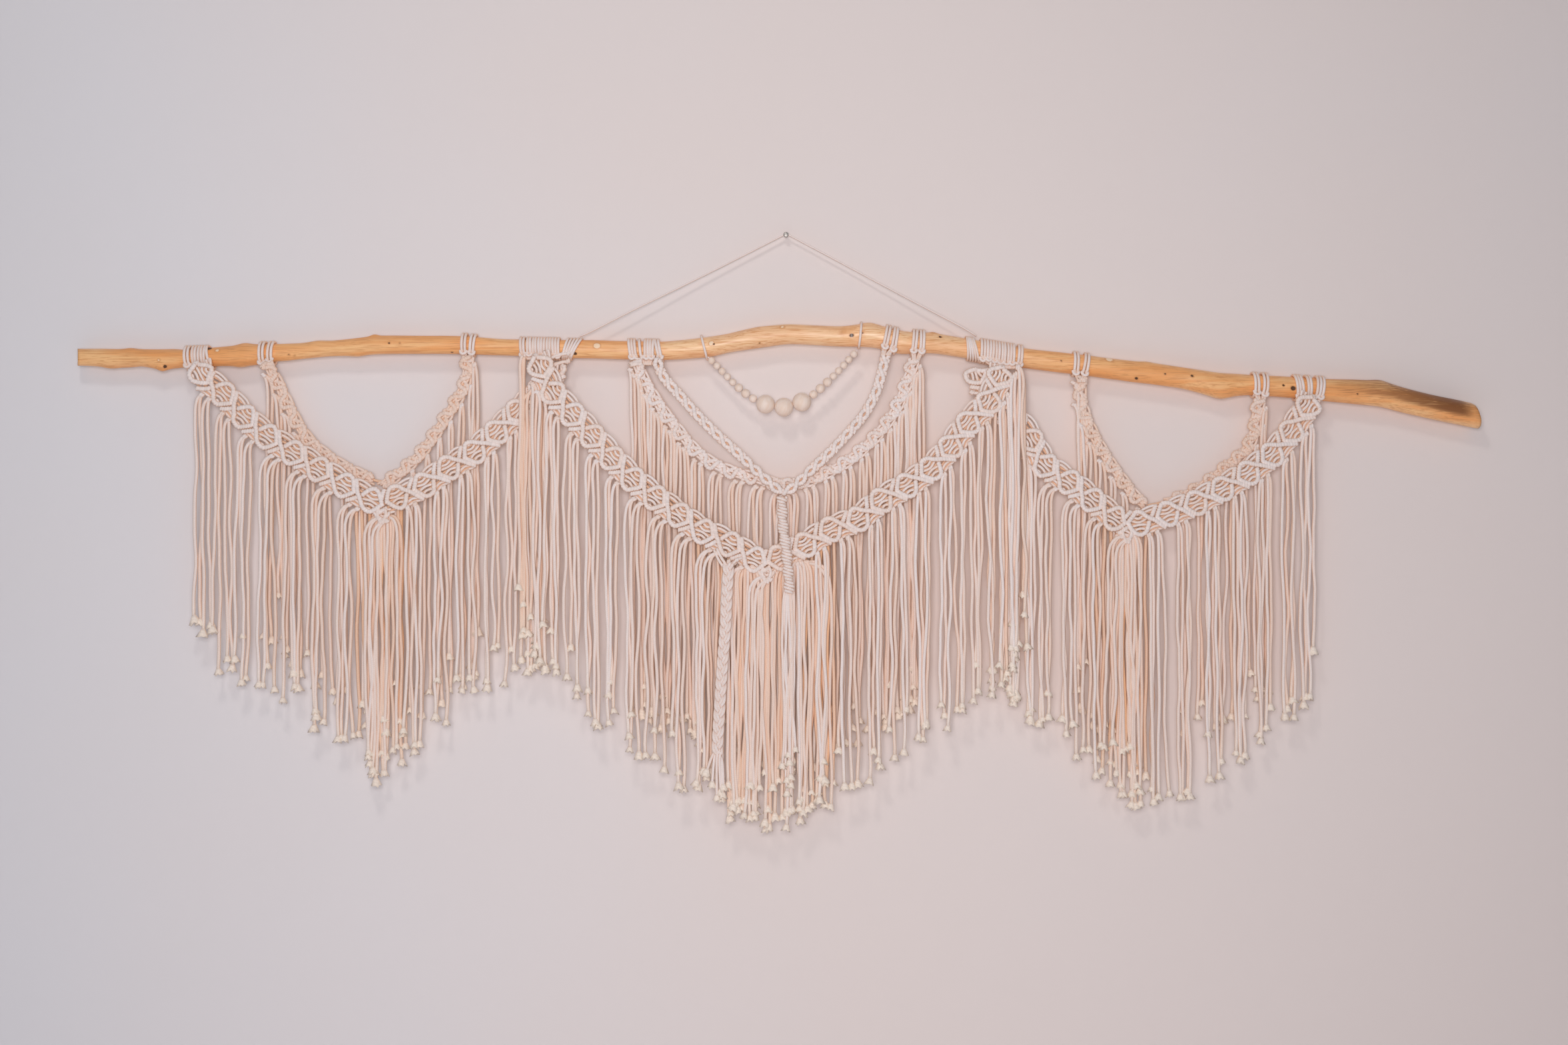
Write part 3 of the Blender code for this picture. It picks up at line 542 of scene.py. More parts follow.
def hitch_bars(controls, coils, radius, tint, lean=0.42, flat=0.95):
    """Rows of half hitches: a circle carried along each path, its radius swelling and pinching once for
    each coil, and its rings tipped so that the coils lie aslant."""
    steps = coils * len(COIL_SHAPE) + 1
    paths = smooth_paths(controls, steps)
    shape = np.append(np.tile(COIL_SHAPE, coils), COIL_SHAPE[0])
    rings = tube_rings(paths, radius * shape[None], CORD_CORNERS, lean=lean, flat=flat)
    return plain_twist(grid_skin(rings, runs_of(paths), tint))


def join(skins):
    """One skin from several, with their corner numbers moved on."""
    starts = np.cumsum([0] + [len(skin["points"]) for skin in skins])
    corners = ("quads", "triangles")
    joined = {key: np.concatenate([skin[key] for skin in skins]) for key in skins[0] if key not in corners}
    for key in corners:
        joined[key] = np.concatenate([skin[key] + start for skin, start in zip(skins, starts)])
    return joined


def in_scene(name, data):
    """A new object of the data, linked to the scene."""
    made = bpy.data.objects.new(name, data)
    bpy.context.scene.collection.objects.link(made)
    return made


def make_piece(name, skin, look, slot, *nodes):
    """Put a skin into a mesh object that rides on the frame and stands for the CAD nodes."""
    mesh = bpy.data.meshes.new(name)
    quads, triangles = skin["quads"], skin["triangles"]
    mesh.vertices.add(len(skin["points"]))
    mesh.vertices.foreach_set("co", (skin["points"] * MM).ravel())
    corners = np.concatenate([quads.ravel(), triangles.ravel()]).astype(np.int32)
    mesh.loops.add(len(corners))
    mesh.loops.foreach_set("vertex_index", corners)
    starts = np.concatenate([np.arange(len(quads)) * 4, len(quads) * 4 + np.arange(len(triangles)) * 3])
    mesh.polygons.add(len(starts))
    mesh.polygons.foreach_set("loop_start", starts.astype(np.int32))
    mesh.update(calc_edges=True)
    uv = np.concatenate([skin["quad_uv"].reshape(-1, 2), skin["triangle_uv"].reshape(-1, 2)])
    mesh.uv_layers.new(name="cord").data.foreach_set("uv", uv.ravel())
    for key in [key for key in skin if key in ("tint", "fray", "dark", "light", "grey")]:
        mesh.attributes.new(key, "FLOAT", "POINT").data.foreach_set("value", skin[key].astype(np.float32))
    mesh.validate()
    mesh.shade_smooth()
    mesh.materials.append(look)
    piece = in_scene(name, mesh)
    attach(piece, "root")
    if nodes:
        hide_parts(*nodes)
    return piece


# --- Finishes ---


class Graph:
    """Short calls to build one node tree: each makes a node, fills its inputs and gives an output."""

    def __init__(self, tree):
        self.tree = tree

    def put(self, node, inputs):
        """Set each input of a node, or join it where the value is a socket."""
        for key, value in inputs.items():
            if isinstance(value, bpy.types.NodeSocket):
                self.tree.links.new(value, node.inputs[key])
            else:
                node.inputs[key].default_value = value

    def node(self, kind, inputs, **settings):
        node = self.tree.nodes.new(kind)
        for key, value in settings.items():
            setattr(node, key, value)
        self.put(node, inputs)
        return node

    def add(self, kind, inputs=(), output=0, **settings):
        return self.node(kind, dict(inputs), **settings).outputs[output]

    def math(self, operation, *values):
        return self.add("ShaderNodeMath", enumerate(values), operation=operation)

    def ramp(self, value, low, high, to_low=0.0, to_high=1.0):
        inputs = {"Value": value, "From Min": low, "From Max": high, "To Min": to_low, "To Max": to_high}
        return self.add("ShaderNodeMapRange", inputs, interpolation_type="SMOOTHSTEP")

    def mix(self, factor, first, second, blend="MIX"):
        """Mix of two colours, each a socket or three numbers."""
        first, second = (colour if isinstance(colour, bpy.types.NodeSocket) else (*colour, 1)
                         for colour in (first, second))
        inputs = {0: factor, 6: first, 7: second}
        return self.add("ShaderNodeMix", inputs, 2, data_type="RGBA", blend_type=blend)

    def dim(self, colour, share):
        """A colour times one number."""
        grey = self.add("ShaderNodeCombineColor", {0: share, 1: share, 2: share})
        return self.mix(1.0, colour, grey, "MULTIPLY")

    def sum(self, first, first_share, second, second_share):
        parts = (self.math("MULTIPLY", *pair) for pair in ((first, first_share), (second, second_share)))
        return self.math("ADD", *parts)

    def off_middle(self, value, swing):
        """How far a value of 0 to 1 is from its middle, times swing."""
        return self.math("MULTIPLY", self.math("SUBTRACT", value, 0.5), swing)

    def noise(self, place, scale, detail, distortion=0.0):
        inputs = {"Vector": place, "Scale": scale, "Detail": detail, "Distortion": distortion}
        return self.add("ShaderNodeTexNoise", inputs)

    def attribute(self, name):
        return self.add("ShaderNodeAttribute", output="Fac", attribute_name=name)

    def place(self):
        return self.add("ShaderNodeTexCoord", output="Object")

    def bump(self, height, strength, distance):
        return self.add("ShaderNodeBump", {"Strength": strength, "Distance": distance, "Height": height})

    def group(self, build, inputs):
        """Outputs of the node group that build makes, made once and placed with the inputs given."""
        name = build.__name__.replace("_", " ").title()
        tree = bpy.data.node_groups.get(name) or new_group(name, build, inputs)
        return self.node("ShaderNodeGroup", inputs, node_tree=tree).outputs


def new_group(name, build, inputs):
    """A shader node group with an input for each name, and the outputs that build(graph, inputs) gives."""
    tree = bpy.data.node_groups.new(name, "ShaderNodeTree")
    for label, value in inputs.items():
        kind = "NodeSocketVector" if isinstance(value, bpy.types.NodeSocket) else "NodeSocketFloat"
        tree.interface.new_socket(label, in_out="INPUT", socket_type=kind)
    graph = Graph(tree)
    results = build(graph, tree.nodes.new("NodeGroupInput").outputs)
    for label in results:
        tree.interface.new_socket(label, in_out="OUTPUT", socket_type="NodeSocketFloat")
    graph.put(tree.nodes.new("NodeGroupOutput"), results)
    return tree


def cord_twist(graph, given):
    """Twist of a cord over its UV map: slanted ridges, as sin(2 pi (plies * around + ridges per cm *
    along)), and fine fibres that run with them."""
    around, along = graph.node("ShaderNodeSeparateXYZ", {0: given["UV"]}).outputs[:2]
    slant = graph.math("ADD", graph.math("MULTIPLY", around, given["Plies"]),
                       graph.math("MULTIPLY", along, given["Ridges"]))
    ridge = graph.ramp(graph.math("SINE", graph.math("MULTIPLY", slant, 2 * math.pi)), -1.0, 0.6)
    fibre = graph.noise(graph.add("ShaderNodeCombineXYZ", {0: slant, 1: along}), given["Fibre Scale"], 3.0)
    return {"Ridge": ridge, "Fibre": fibre, "Height": graph.sum(ridge, 0.7, fibre, 0.5)}


def wood_grain(graph, given):
    """Grain of wood over object coordinates: noise drawn out along it, in bands and in fine streaks."""
    drawn, thin = (graph.add("ShaderNodeMapping", {"Vector": given["Vector"], "Scale": scale})
                   for scale in ((5.0, 60.0, 60.0), (30.0, 620.0, 620.0)))
    bands = graph.noise(drawn, given["Broad"], 4.0, 0.6)
    streaks = graph.noise(thin, given["Fine"], 6.0, 0.5)
    return {"Bands": bands, "Streaks": streaks, "Height": graph.sum(bands, 0.6, streaks, 0.4)}


def finish_of(build, *given):
    """The material, made once, whose one shader has the inputs that build(graph, *given) gives."""
    made = bpy.data.materials.get(build.__name__)
    if made is None:
        made = bpy.data.materials.new(build.__name__)
        made.use_nodes = True
        graph = Graph(made.node_tree)
        graph.put(made.node_tree.nodes["Principled BSDF"], build(graph, *given))
    return made


def cotton_cord_twisted(graph, settings):
    """Natural cotton cord, twisted and matt: pale faces, peach painted shade on the sides turned from the
    room, on cords deep in the work and along the twist's grooves, and cream at the frayed tips.
    """
    uv = graph.add("ShaderNodeUVMap", uv_map="cord")
    twist = graph.group(cord_twist, {"UV": uv, "Plies": 2.0, "Ridges": 3.4, "Fibre Scale": 7.0})
    # Painted shade: faces turned from the room, towards the wall, are mixed up to 0.68 of the way to the depth
    # colour.
    normal = graph.add("ShaderNodeNewGeometry", output="Normal")
    turned = graph.ramp(graph.add("ShaderNodeSeparateXYZ", {0: normal}, "Y"), -0.8, -0.05, 0.0, 0.68)
    # The tint attribute carries random tone plus the painted depth shade set where each cord is made.
    shown = graph.math("MULTIPLY", graph.math("SUBTRACT", 1.0, graph.attribute("tint")),
                       graph.math("SUBTRACT", 1.0, turned))
    colour = graph.mix(graph.math("SUBTRACT", 1.0, shown), settings.face, settings.depth)
    colour = graph.mix(graph.attribute("fray"), colour, settings.tip)
    # Painted shade in the twist's grooves: the colour dims slightly along them.
    colour = graph.dim(colour, graph.ramp(twist["Ridge"], 0.0, 0.5, 0.965, 1.0))
    colour = graph.dim(colour, graph.ramp(twist["Fibre"], 0.30, 0.75, 0.92, 1.05))
    return {
        "Base Color": colour,
        "Normal": graph.bump(twist["Height"], 0.7, settings.twist_depth),
        "Roughness": 0.92,
        "Specular IOR Level": 0.25,
        "Sheen Weight": 0.15,
    }


def branch_wood_peeled(graph, settings):
    """Peeled branch: honey wood with long streaks, dark knots, a paler middle painted as a pool of light, a
    greyed right end whose lower side is left honey as a painted lit edge, and a soft polish.
    """
    place = graph.place()
    grain = graph.group(wood_grain, {"Vector": place, "Broad": 1.0, "Fine": 1.0})
    bands, streaks = grain["Bands"], grain["Streaks"]
    rough = graph.off_middle(graph.noise(place, 330.0, 3.0), 0.22)
    dark = graph.math("ADD", graph.attribute("dark"), rough)
    light = graph.math("ADD", graph.attribute("light"), rough)
    grey = graph.attribute("grey")
    across = graph.add("ShaderNodeSeparateXYZ", {0: place}, "X")
    from_lit_middle = graph.math("ABSOLUTE", graph.math("SUBTRACT", across, LIT_MIDDLE_X))
    patchy = graph.math("ADD", graph.off_middle(streaks, 2.2), grey)
    patchy = graph.math("ADD", graph.off_middle(bands, 1.4), patchy)
    colour = graph.mix(graph.ramp(bands, 0.32, 0.68), settings.pale, settings.honey)
    # The first layer is a painted pool of light: the fresh colour laid over the middle of the branch,
    # strongest within 0.1 m of its middle x.
    for share, over in (
        (graph.ramp(from_lit_middle, 0.1, 0.4, 0.4, 0.0), settings.fresh),
        (graph.ramp(graph.noise(place, 14.0, 3.0), 0.48, 0.75, 0.0, 0.7), settings.honey),
        (graph.ramp(streaks, 0.46, 0.66, 0.0, 0.7), settings.streak),
        (graph.math("MULTIPLY", grey, graph.ramp(patchy, 0.2, 0.9, 0.45, 1.0)), settings.grey),
        (graph.ramp(light, 0.1, 0.3, 0.0, 0.6), settings.streak),
        (graph.ramp(light, 0.3, 0.42, 0.0, 0.9), settings.fresh),
        (graph.ramp(dark, 0.12, 0.34, 0.0, 0.6), settings.streak),
        (graph.ramp(dark, 0.34, 0.5), settings.dark),
    ):
        colour = graph.mix(share, colour, over)
    return {
        "Base Color": colour,
        "Normal": graph.bump(grain["Height"], 0.5, 0.0006),
        "Roughness": graph.ramp(bands, 0.3, 0.7, 0.30, 0.48),
        "Specular IOR Level": 0.45,
    }


def bead_wood_raw(graph, settings):
    """Unfinished pale bead wood with fine flecked grain."""
    turned = graph.add("ShaderNodeMapping", {"Vector": graph.place(), "Rotation": (0.3, 1.1, 0.5)})
    grain = graph.group(wood_grain, {"Vector": turned, "Broad": 3.0, "Fine": 2.2})
    colour = graph.mix(graph.ramp(grain["Bands"], 0.35, 0.65), settings.bead_pale, settings.bead_warm)
    colour = graph.mix(graph.ramp(grain["Streaks"], 0.55, 0.75, 0.0, 0.12), colour, settings.streak)
    return {"Base Color": colour, "Normal": graph.bump(grain["Height"], 0.3, 0.0003), "Roughness": 0.62}


def screw_steel_worn(graph):
    """Zinc-bright screw steel with fine scratches and a dull film."""
    film = graph.noise(graph.place(), 700.0, 3.0)
    colour = graph.mix(film, (0.62, 0.60, 0.57), (0.42, 0.40, 0.38))
    return {"Base Color": colour, "Roughness": graph.ramp(film, 0.3, 0.7, 0.3, 0.55), "Metallic": 0.85}


def wall_paint(graph, settings):
    """Matt painted wall, seen from its room side only and open to light, for the back views; cooler towards
    the left as painted cool light, and in random patches.
    """
    place = graph.place()
    # Painted cool light: the wall is mixed towards its cooler colour towards the left, with random patches
    # too.
    side = graph.ramp(graph.add("ShaderNodeSeparateXYZ", {0: place}, "X"), -1.3, 0.1, 1.0, 0.0)
    cool_light = graph.math("ADD", side, graph.off_middle(graph.noise(place, 1.3, 2.0), 0.8))
    behind = graph.math("MAXIMUM", graph.add("ShaderNodeNewGeometry", output="Backfacing"),
                        graph.add("ShaderNodeLightPath", output="Is Shadow Ray"))
    paint = graph.tree.nodes["Principled BSDF"].outputs[0]
    clear = graph.add("ShaderNodeBsdfTransparent")
    shown = graph.add("ShaderNodeMixShader", {0: behind, 1: paint, 2: clear})
    graph.put(graph.tree.nodes["Material Output"], {"Surface": shown})
    colour = graph.mix(cool_light, settings.wall, settings.wall_cool_light)
    return {"Base Color": colour, "Roughness": 0.9, "Specular IOR Level": 0.15}


def floor_paint(graph, settings):
    """Matt pale floor with a faint mottle."""
    mottle = graph.noise(graph.place(), 2.0, 3.0)
    return {"Base Color": graph.mix(mottle, settings.floor, settings.wall), "Roughness": 0.8}


# --- Branch, screw and hanger ---


def branch_at(x):
    """Branch's middle height and radius at x."""
    table = np.array(BRANCH, float)
    top = np.interp(x, table[:, 0], table[:, 1])
    bottom = np.interp(x, table[:, 0], table[:, 2])
    return (top + bottom) / 2, (top - bottom) / 2


def branch_stations():
    """Places along the branch: even ones, and closer ones about each small wood knot."""
    small, step = 7, 1.3
    close = [x + np.arange(-8, 9, step) * size / 4 for x, _, size, _, _ in WOOD_KNOTS if size < small]
    x = np.concatenate([np.linspace(LEFT_END, RIGHT_END, BRANCH_STATIONS)] + close)
    return np.unique((np.clip(x, LEFT_END, RIGHT_END) * 2).round() / 2)


def rounded_branch(x):
    """Branch's middle height and radius at x, the corners of its table rounded by a bell-shaped mean."""
    half, step, margin = 8, 3.0, 60.0
    even = np.arange(LEFT_END - margin, RIGHT_END + margin, step)
    bell = np.exp(-np.linspace(-2, 2, 2 * half + 1) ** 2)
    return [np.interp(x, even[half:-half], np.convolve(line, bell / bell.sum(), "valid"))
            for line in branch_at(even)]


def branch_skin():
    """The branch as a surface of x and the angle round it: radius(x) * (1 + ripples) + a bell for each wood
    knot. Its ends close in over three more rings to a pole, the right one aslant."""
    x = branch_stations()
    middle, radius = rounded_branch(x)
    angle = np.arange(BRANCH_CORNERS) * 2 * np.pi / BRANCH_CORNERS
    angle = angle - 0.3 * np.cos(angle)
    along, around = x[:, None], angle[None]
    ripple = (0.018 * np.sin(2 * around + along / 61) + 0.014 * np.sin(3 * around - along / 43 + 1.0)
              + 0.010 * np.sin(5 * around + along / 17) + 0.012 * np.sin(along / 23 + 2 * np.cos(around))
              + 0.006 * np.sin(9 * around - along / 9))
    reach = radius[:, None] * (0.985 + ripple)
    dark, light = np.zeros_like(reach), np.zeros_like(reach)
    for knot_x, knot_z, size, height, darkness in WOOD_KNOTS:
        knot_middle, knot_radius = branch_at(knot_x)
        turned = np.arccos(np.clip((knot_z - knot_middle) / knot_radius, -1, 1))
        apart = np.angle(np.exp(1j * (around - turned))) * radius[:, None]
        away = np.sqrt((along - knot_x) ** 2 / KNOT_STRETCH + apart ** 2) / size
        reach += height * np.exp(-away ** 2)
        shade = np.clip(1 - away / KNOT_SHADE, 0, 1)
        dark = np.maximum(dark, darkness * shade)
        light = np.maximum(light, -darkness * shade)
    # Weathered grey over the right end, left off its lower side, where the honey wood is kept as a painted lit
    # edge.
    weathered_from, weathered_over, worn_from, worn_over = 795, 190, 1010, 15
    grey = np.clip((along - weathered_from) / weathered_over, 0, 1) ** 0.6
    grey = grey * np.clip((np.cos(around) + 0.5) / 0.35, 0, 1)
    grey *= 1 - 0.6 * np.clip((along - worn_from) / worn_over, 0, 1)
    for share in END_RINGS:
        reach = np.vstack([reach[:1] * (1 - share), reach, reach[-1:] * (1 - share)])
        dark = np.vstack([dark[:1] * 0 + 0.25, dark, dark[-1:] * 0])
        light = np.vstack([light[:1], light, light[-1:] * 0 + 0.8 * (share > 0.5)])
        grey = np.vstack([grey[:1] * 0, grey, grey[-1:] * 0.2])
        x = np.concatenate([[LEFT_END], x, [RIGHT_END]])
        middle = np.concatenate([middle[:1], middle, middle[-1:]])
    slant = np.clip((x - RIGHT_END + END_LENGTH) / END_LENGTH, 0, 1)[:, None]
    up = np.cos(around) * reach
    turned_in = np.clip((LEFT_END + END_LENGTH - x) / END_LENGTH, 0, 1)[:, None]
    turned_in = turned_in * LEFT_END_SLANT * np.clip(np.sin(around), 0, 1)
    end_radius = 19
    points = np.stack([x[:, None] + turned_in - slant * RIGHT_END_SLANT * (up / end_radius + 1) / 2,
                       BRANCH_Y - np.sin(around) * reach, middle[:, None] + up], axis=-1)
    skin = grid_skin(points[None], x[None] / 10, domed=0.02)
    for key, shade in (("dark", dark), ("light", light), ("grey", grey)):
        skin[key] = np.concatenate([shade.ravel(), shade[0, :1], shade[-1, :1]])
    return skin


def loop_paths(x, lean, radius):
    """Closed turns round the branch at each x: branch's middle + reach * (cos a up + sin a towards the
    viewer), moved sideways by lean * cos a / 2 so that the top of a turn is right of its bottom."""
    angle = np.arange(TURN_STEPS) * 2 * np.pi / TURN_STEPS
    x = np.asarray(x, float)[:, None]
    place = x + np.asarray(lean, float)[:, None] * np.cos(angle) / 2
    middle, branch = branch_at(place)
    reach = branch + GAP + radius
    return np.stack([place, BRANCH_Y - reach * np.sin(angle), middle + reach * np.cos(angle)], axis=-1)


def front_of_branch(x, degrees, extra):
    """Points on the loops in front of the branch at x, the angle counted from the top forwards."""
    middle, branch = branch_at(x)
    reach = branch + GAP + CORD_RADIUS + extra
    turn = np.radians(degrees)
    return np.stack([x + 0 * turn, BRANCH_Y - reach * np.sin(turn), middle + reach * np.cos(turn)], axis=-1)


def loops_skin(groups, below_x, below_z, rng):
    """Lark's heads: turns round the branch in pairs, the loop that crosses each pair under the branch's
    front, and the ends that go from there into the first knots below."""
    x = np.concatenate([left + (right - left) * (np.arange(count) + 0.5) / count
                        for left, right, count, _ in groups])
    lean = np.concatenate([np.full(count, float(lean)) for _, _, count, lean in groups])
    strands = len(x)
    x += rng.uniform(-0.2, 0.2, strands)
    turns = cords(loop_paths(x, lean + rng.uniform(-0.6, 0.6, strands), CORD_RADIUS),
                  tint=rng.uniform(0, 0.2, strands), facing=RIGHTWARD, looped=True)
    low_x = x - lean * 0.35
    first, second = low_x[0::2], low_x[1::2]
    lowered = rng.uniform(-5, 5, len(first))
    across = [front_of_branch(start + shift, degrees + lowered, out) for start, shift, degrees, out in (
        (first, -2.0, 128, -1.0), (first, -1.2, 133, 2.6), ((first + second) / 2, 0.0, 136, 4.2),
        (second, 1.2, 133, 2.6), (second, 2.0, 128, -1.0))]
    crossing = cords(smooth_paths(np.stack(across, axis=1), 13), CORD_RADIUS, tint=0.05)
    drawn = below_x + (low_x - low_x.mean()) * 0.5
    front_y = front_of_branch(low_x, 110, 0)[:, 1]
    ends = [front_of_branch(low_x, 118, 0.4), front_of_branch((low_x * 2 + drawn) / 3, 142, 1.6)]
    ends += [np.stack([drawn, front_y + inward, np.full(strands, below_z - drop)], -1)
             for inward, drop in ((2, 2.0), (1, 4.0))]
    loose = cords(smooth_paths(np.stack(ends, axis=1), 9), tint=rng.uniform(0.1, 0.4, strands))
    return join([turns, crossing, loose])


def wrap_skin(left, right, count, first_lean, last_lean, radius, rng):
    """Plain turns round the branch that fan from the first lean to the last."""
    step = (right - left) / count
    x = left + step * (np.arange(count) + 0.5)
    leans = np.linspace(first_lean, last_lean, count)
    tint = rng.uniform(0, 0.2, count)
    return cords(loop_paths(x, leans, radius), radius, tint=tint, facing=RIGHTWARD, looped=True)


def screw_skin():
    """Screw head as a height over a disc, front + dome - cross recess, then its rim, neck and shank."""
    corners = 64
    share = np.linspace(0.06, 1.0, 22)[:, None]
    turn = np.arange(corners) * 2 * np.pi / corners
    radius = share * HEAD_RADIUS * 0.94
    across, up = radius * np.cos(turn), radius * np.sin(turn)
    arm = np.minimum(np.abs(across), np.abs(up))
    long_arm = np.maximum(np.abs(across), np.abs(up))
    recess = SLOT_DEPTH * np.clip((SLOT_HALF - arm) / 0.22, 0, 1)
    recess = recess * np.clip((SLOT_REACH - long_arm) / 0.5, 0, 1)
    face = np.stack([across, HEAD_FRONT + 0.75 * share ** 3 + recess, up], axis=-1)
    rim = [(1.0, HEAD_FRONT + 1.1), (1.0, HEAD_BACK - 0.1), (0.62, HEAD_BACK), (0.59, HEAD_BACK + 1.0),
           (0.59, -0.5), (0.5, -0.05)]
    size, y = np.array(rim).T[..., None] * np.ones(corners)
    back = np.stack([np.cos(turn) * size * HEAD_RADIUS, y, np.sin(turn) * size * HEAD_RADIUS], axis=-1)
    rings = np.concatenate([face, back])[:, ::-1]
    return grid_skin(rings[None], np.arange(len(rings))[None] / 10.0, domed=0.0)


def hanger_height(x):
    """Height at which a hanger strand leaves the turns on the branch at x."""
    middle, radius = branch_at(x)
    return middle + radius + LOOPS_REACH + STRAND_RADIUS


def hanger_route(plane):
    """Points of one strand, from the left turns over the screw to the right turns."""
    x, z = np.array(HANGER_ROUTE, float).T
    z[[0, -1]] = hanger_height(x[[0, -1]])
    lean = np.clip(np.abs(x) / 250.0, 0, 1)
    depth = plane + (BRANCH_Y - STRAND_PLANES[0]) * lean ** 2
    return through(np.column_stack([x, depth, z]), HANGER_STEPS)


def free_cord(name, route, radius, node):
    """One free cord as a mesh tube that follows its route."""
    return cotton_piece(name, cords(route[None], radius, corners=10), node)


# --- Bands of knots ---


class Band:
    """A band's middle line and depth, read at any place along and across it."""

    STEPS = 401

    def __init__(self, name, sort, plane, units, first, pitch, points):
        self.sort, self.plane, self.units, self.pitch = sort, plane, units, pitch
        self.side = 1 if name.endswith("_a") else -1
        self.middles = first + pitch * np.arange(units)
        self.line = smooth(points, self.STEPS)
        self.length = run_of(self.line)[-1]
        self.run = np.linspace(0, self.length, self.STEPS)
        self.along = unit(np.gradient(self.line, axis=0))
        self.upper = self.side * np.column_stack([-self.along[:, 1], self.along[:, 0]])
        self.depth = self.depths()

    def depths(self):
        """Middle y along the band: its plane, or forward of the loops where the branch is in the way."""
        needs = [np.full(self.STEPS, self.plane)]
        for across in (-1, 0, 1):
            spot = self.line + self.upper * self.sort["half_width"] * across
            middle, radius = branch_at(spot[:, 0])
            reach = radius + LOOPS_REACH
            room = np.sqrt(np.maximum(reach ** 2 - (spot[:, 1] - middle) ** 2, 0))
            resting = BRANCH_Y - room - self.sort["half_thick"]
            needs.append(np.where(np.abs(spot[:, 1] - middle) < reach, resting, self.plane))
        wide = int(self.STEPS * self.pitch / self.length / 2)
        window = 2 * wide + 1
        padded = np.pad(np.min(needs, axis=0), wide, "edge")
        worst = np.min([padded[shift:shift + self.STEPS] for shift in range(window)], axis=0)
        return np.convolve(np.pad(worst, wide, "edge"), np.ones(window) / window, "valid")

    def at(self, along, across, out):
        """Points at the run along the band and the distance across it, moved towards the viewer by out."""
        along, across = np.asarray(along, float), np.asarray(across, float)
        over = np.clip(along, 0, self.length)
        line, ahead, upper = (np.stack([np.interp(over, self.run, column) for column in table.T], axis=-1)
                              for table in (self.line, self.along, self.upper))
        flat = line + ahead * (along - over)[..., None] + upper * across[..., None]
        depth = np.interp(over, self.run, self.depth) - out
        return np.stack([flat[..., 0], depth, flat[..., 1]], axis=-1)

    def row(self, along, across, out):
        """Points at several places along the band, all at the same distance across it."""
        return self.at(along, np.full(len(along), across), out)

    def mirrored(self, shapes):
        """Shapes of a unit, turned over from edge to edge on a band that runs down to the left."""
        return [[(along, across * self.side, out) for along, across, out in shape] for shape in shapes]

    def units_at(self, shape, rng, jitter=0.35):
        """One path for each unit from the shape's points: along in pitches, across in half widths, out."""
        share, across, out = np.asarray(shape, float).T[:, None]
        start = START_SHARE * self.sort["half_width"]
        room = np.clip((self.middles[:, None] - start) / (UNIT_REACH * self.pitch), LEAST_ROOM, 1)
        along = self.middles[:, None] + share * np.where(share < 0, room, 1) * self.pitch
        out = np.broadcast_to(out, along.shape)
        across = np.broadcast_to(across * self.sort["half_width"], along.shape)
        first_on = np.argmax(along >= start, axis=1)
        anchor = across[np.arange(self.units), first_on][:, None]
        across = np.where(along >= start, across, anchor + START_WIDTH * (across - anchor))
        along = np.maximum(along, start) + rng.uniform(-jitter, jitter, along.shape)
        return self.at(along, across + rng.uniform(-jitter, jitter, along.shape), out)


BAND = {row[0]: Band(*row) for row in BANDS}


def bands_of(sort):
    """Names of the bands of one sort."""
    return [name for name, band in BAND.items() if band.sort is sort]


def knot_rows(name):
    """Knots under each unit of a band, as along, across and the x of the strands."""
    if BAND[name].sort is WIDE:
        return WIDE_KNOTS[name[-1]]
    return NARROW_KNOTS[("middle_" if name.startswith("middle") else "back_") + name[-1]]


def knot_places(name):
    """Middles of the fringe knots: a row for each knot of a unit, a column for each unit with knots."""
    band = BAND[name]
    middles = band.middles[KNOTLESS.get(name, 0):]
    return [band.row(middles + along * band.pitch, across * band.sort["half_width"], 1.0)
            for along, across, _ in knot_rows(name)]


def small_knots(middles, along, radius, reach, rng):
    """Two-coil knots at the middles, each lying in its direction."""
    tilt = unit(along + rng.uniform(-0.25, 0.25, along.shape) * np.array([1, 0.4, 1]))
    controls = np.stack([middles - tilt * reach, middles, middles + tilt * reach], axis=1)
    return hitch_bars(controls, 2, radius, tint=rng.uniform(0, 0.25, len(middles)), lean=0.25, flat=0.9)


def lining(band, places, rng):
    """Plain cords along the back of a band, which close the view through its holes, coloured deep as painted
    shade.
    """
    run = np.arange(LINING_START, band.length - 1.0, LINING_STEP)
    across = np.array(places)[:, None] * band.sort["half_width"]
    across = across + rng.uniform(-0.6, 0.6, (len(places), len(run)))
    paths = band.at(np.broadcast_to(run, across.shape), across, -band.sort["lining"])
    return cords(paths, CORD_RADIUS * 0.95, corners=6, tint=np.full(len(places), LINING_TINT))


def band_skin(name, bars, fillers, edge_cords, places, rng):
    """Diamonds of a band: rows of half hitches round plain cords, edge cords, the lining and the knots."""
    band = BAND[name]
    # The backmost bands' cords carry painted depth shade.
    back = BACK_TINT if band.plane == BACK_Y else 0.0
    skins = [lining(band, places, rng)]
    for coils, radius, shape in bars:
        paths = band.units_at(*band.mirrored([shape]), rng)
        tint = rng.uniform(0, 0.15, band.units) + back
        skins.append(hitch_bars(paths, coils, radius, tint, lean=0.2 * band.side))
    for shape in (*band.mirrored(fillers), *edge_cords):
        paths = smooth_paths(band.units_at(shape, rng), 9)
        tint = rng.uniform(0.0, 0.2, band.units) + back
        skins.append(cords(paths, CORD_RADIUS * FILLER_SHARE, corners=7, tint=tint))
    for row in knot_places(name):
        along = np.tile([0.75, 0.0, -0.55 * band.side], (len(row), 1))
        skins.append(small_knots(row, along, *band.sort["knots"], rng))
    return skins


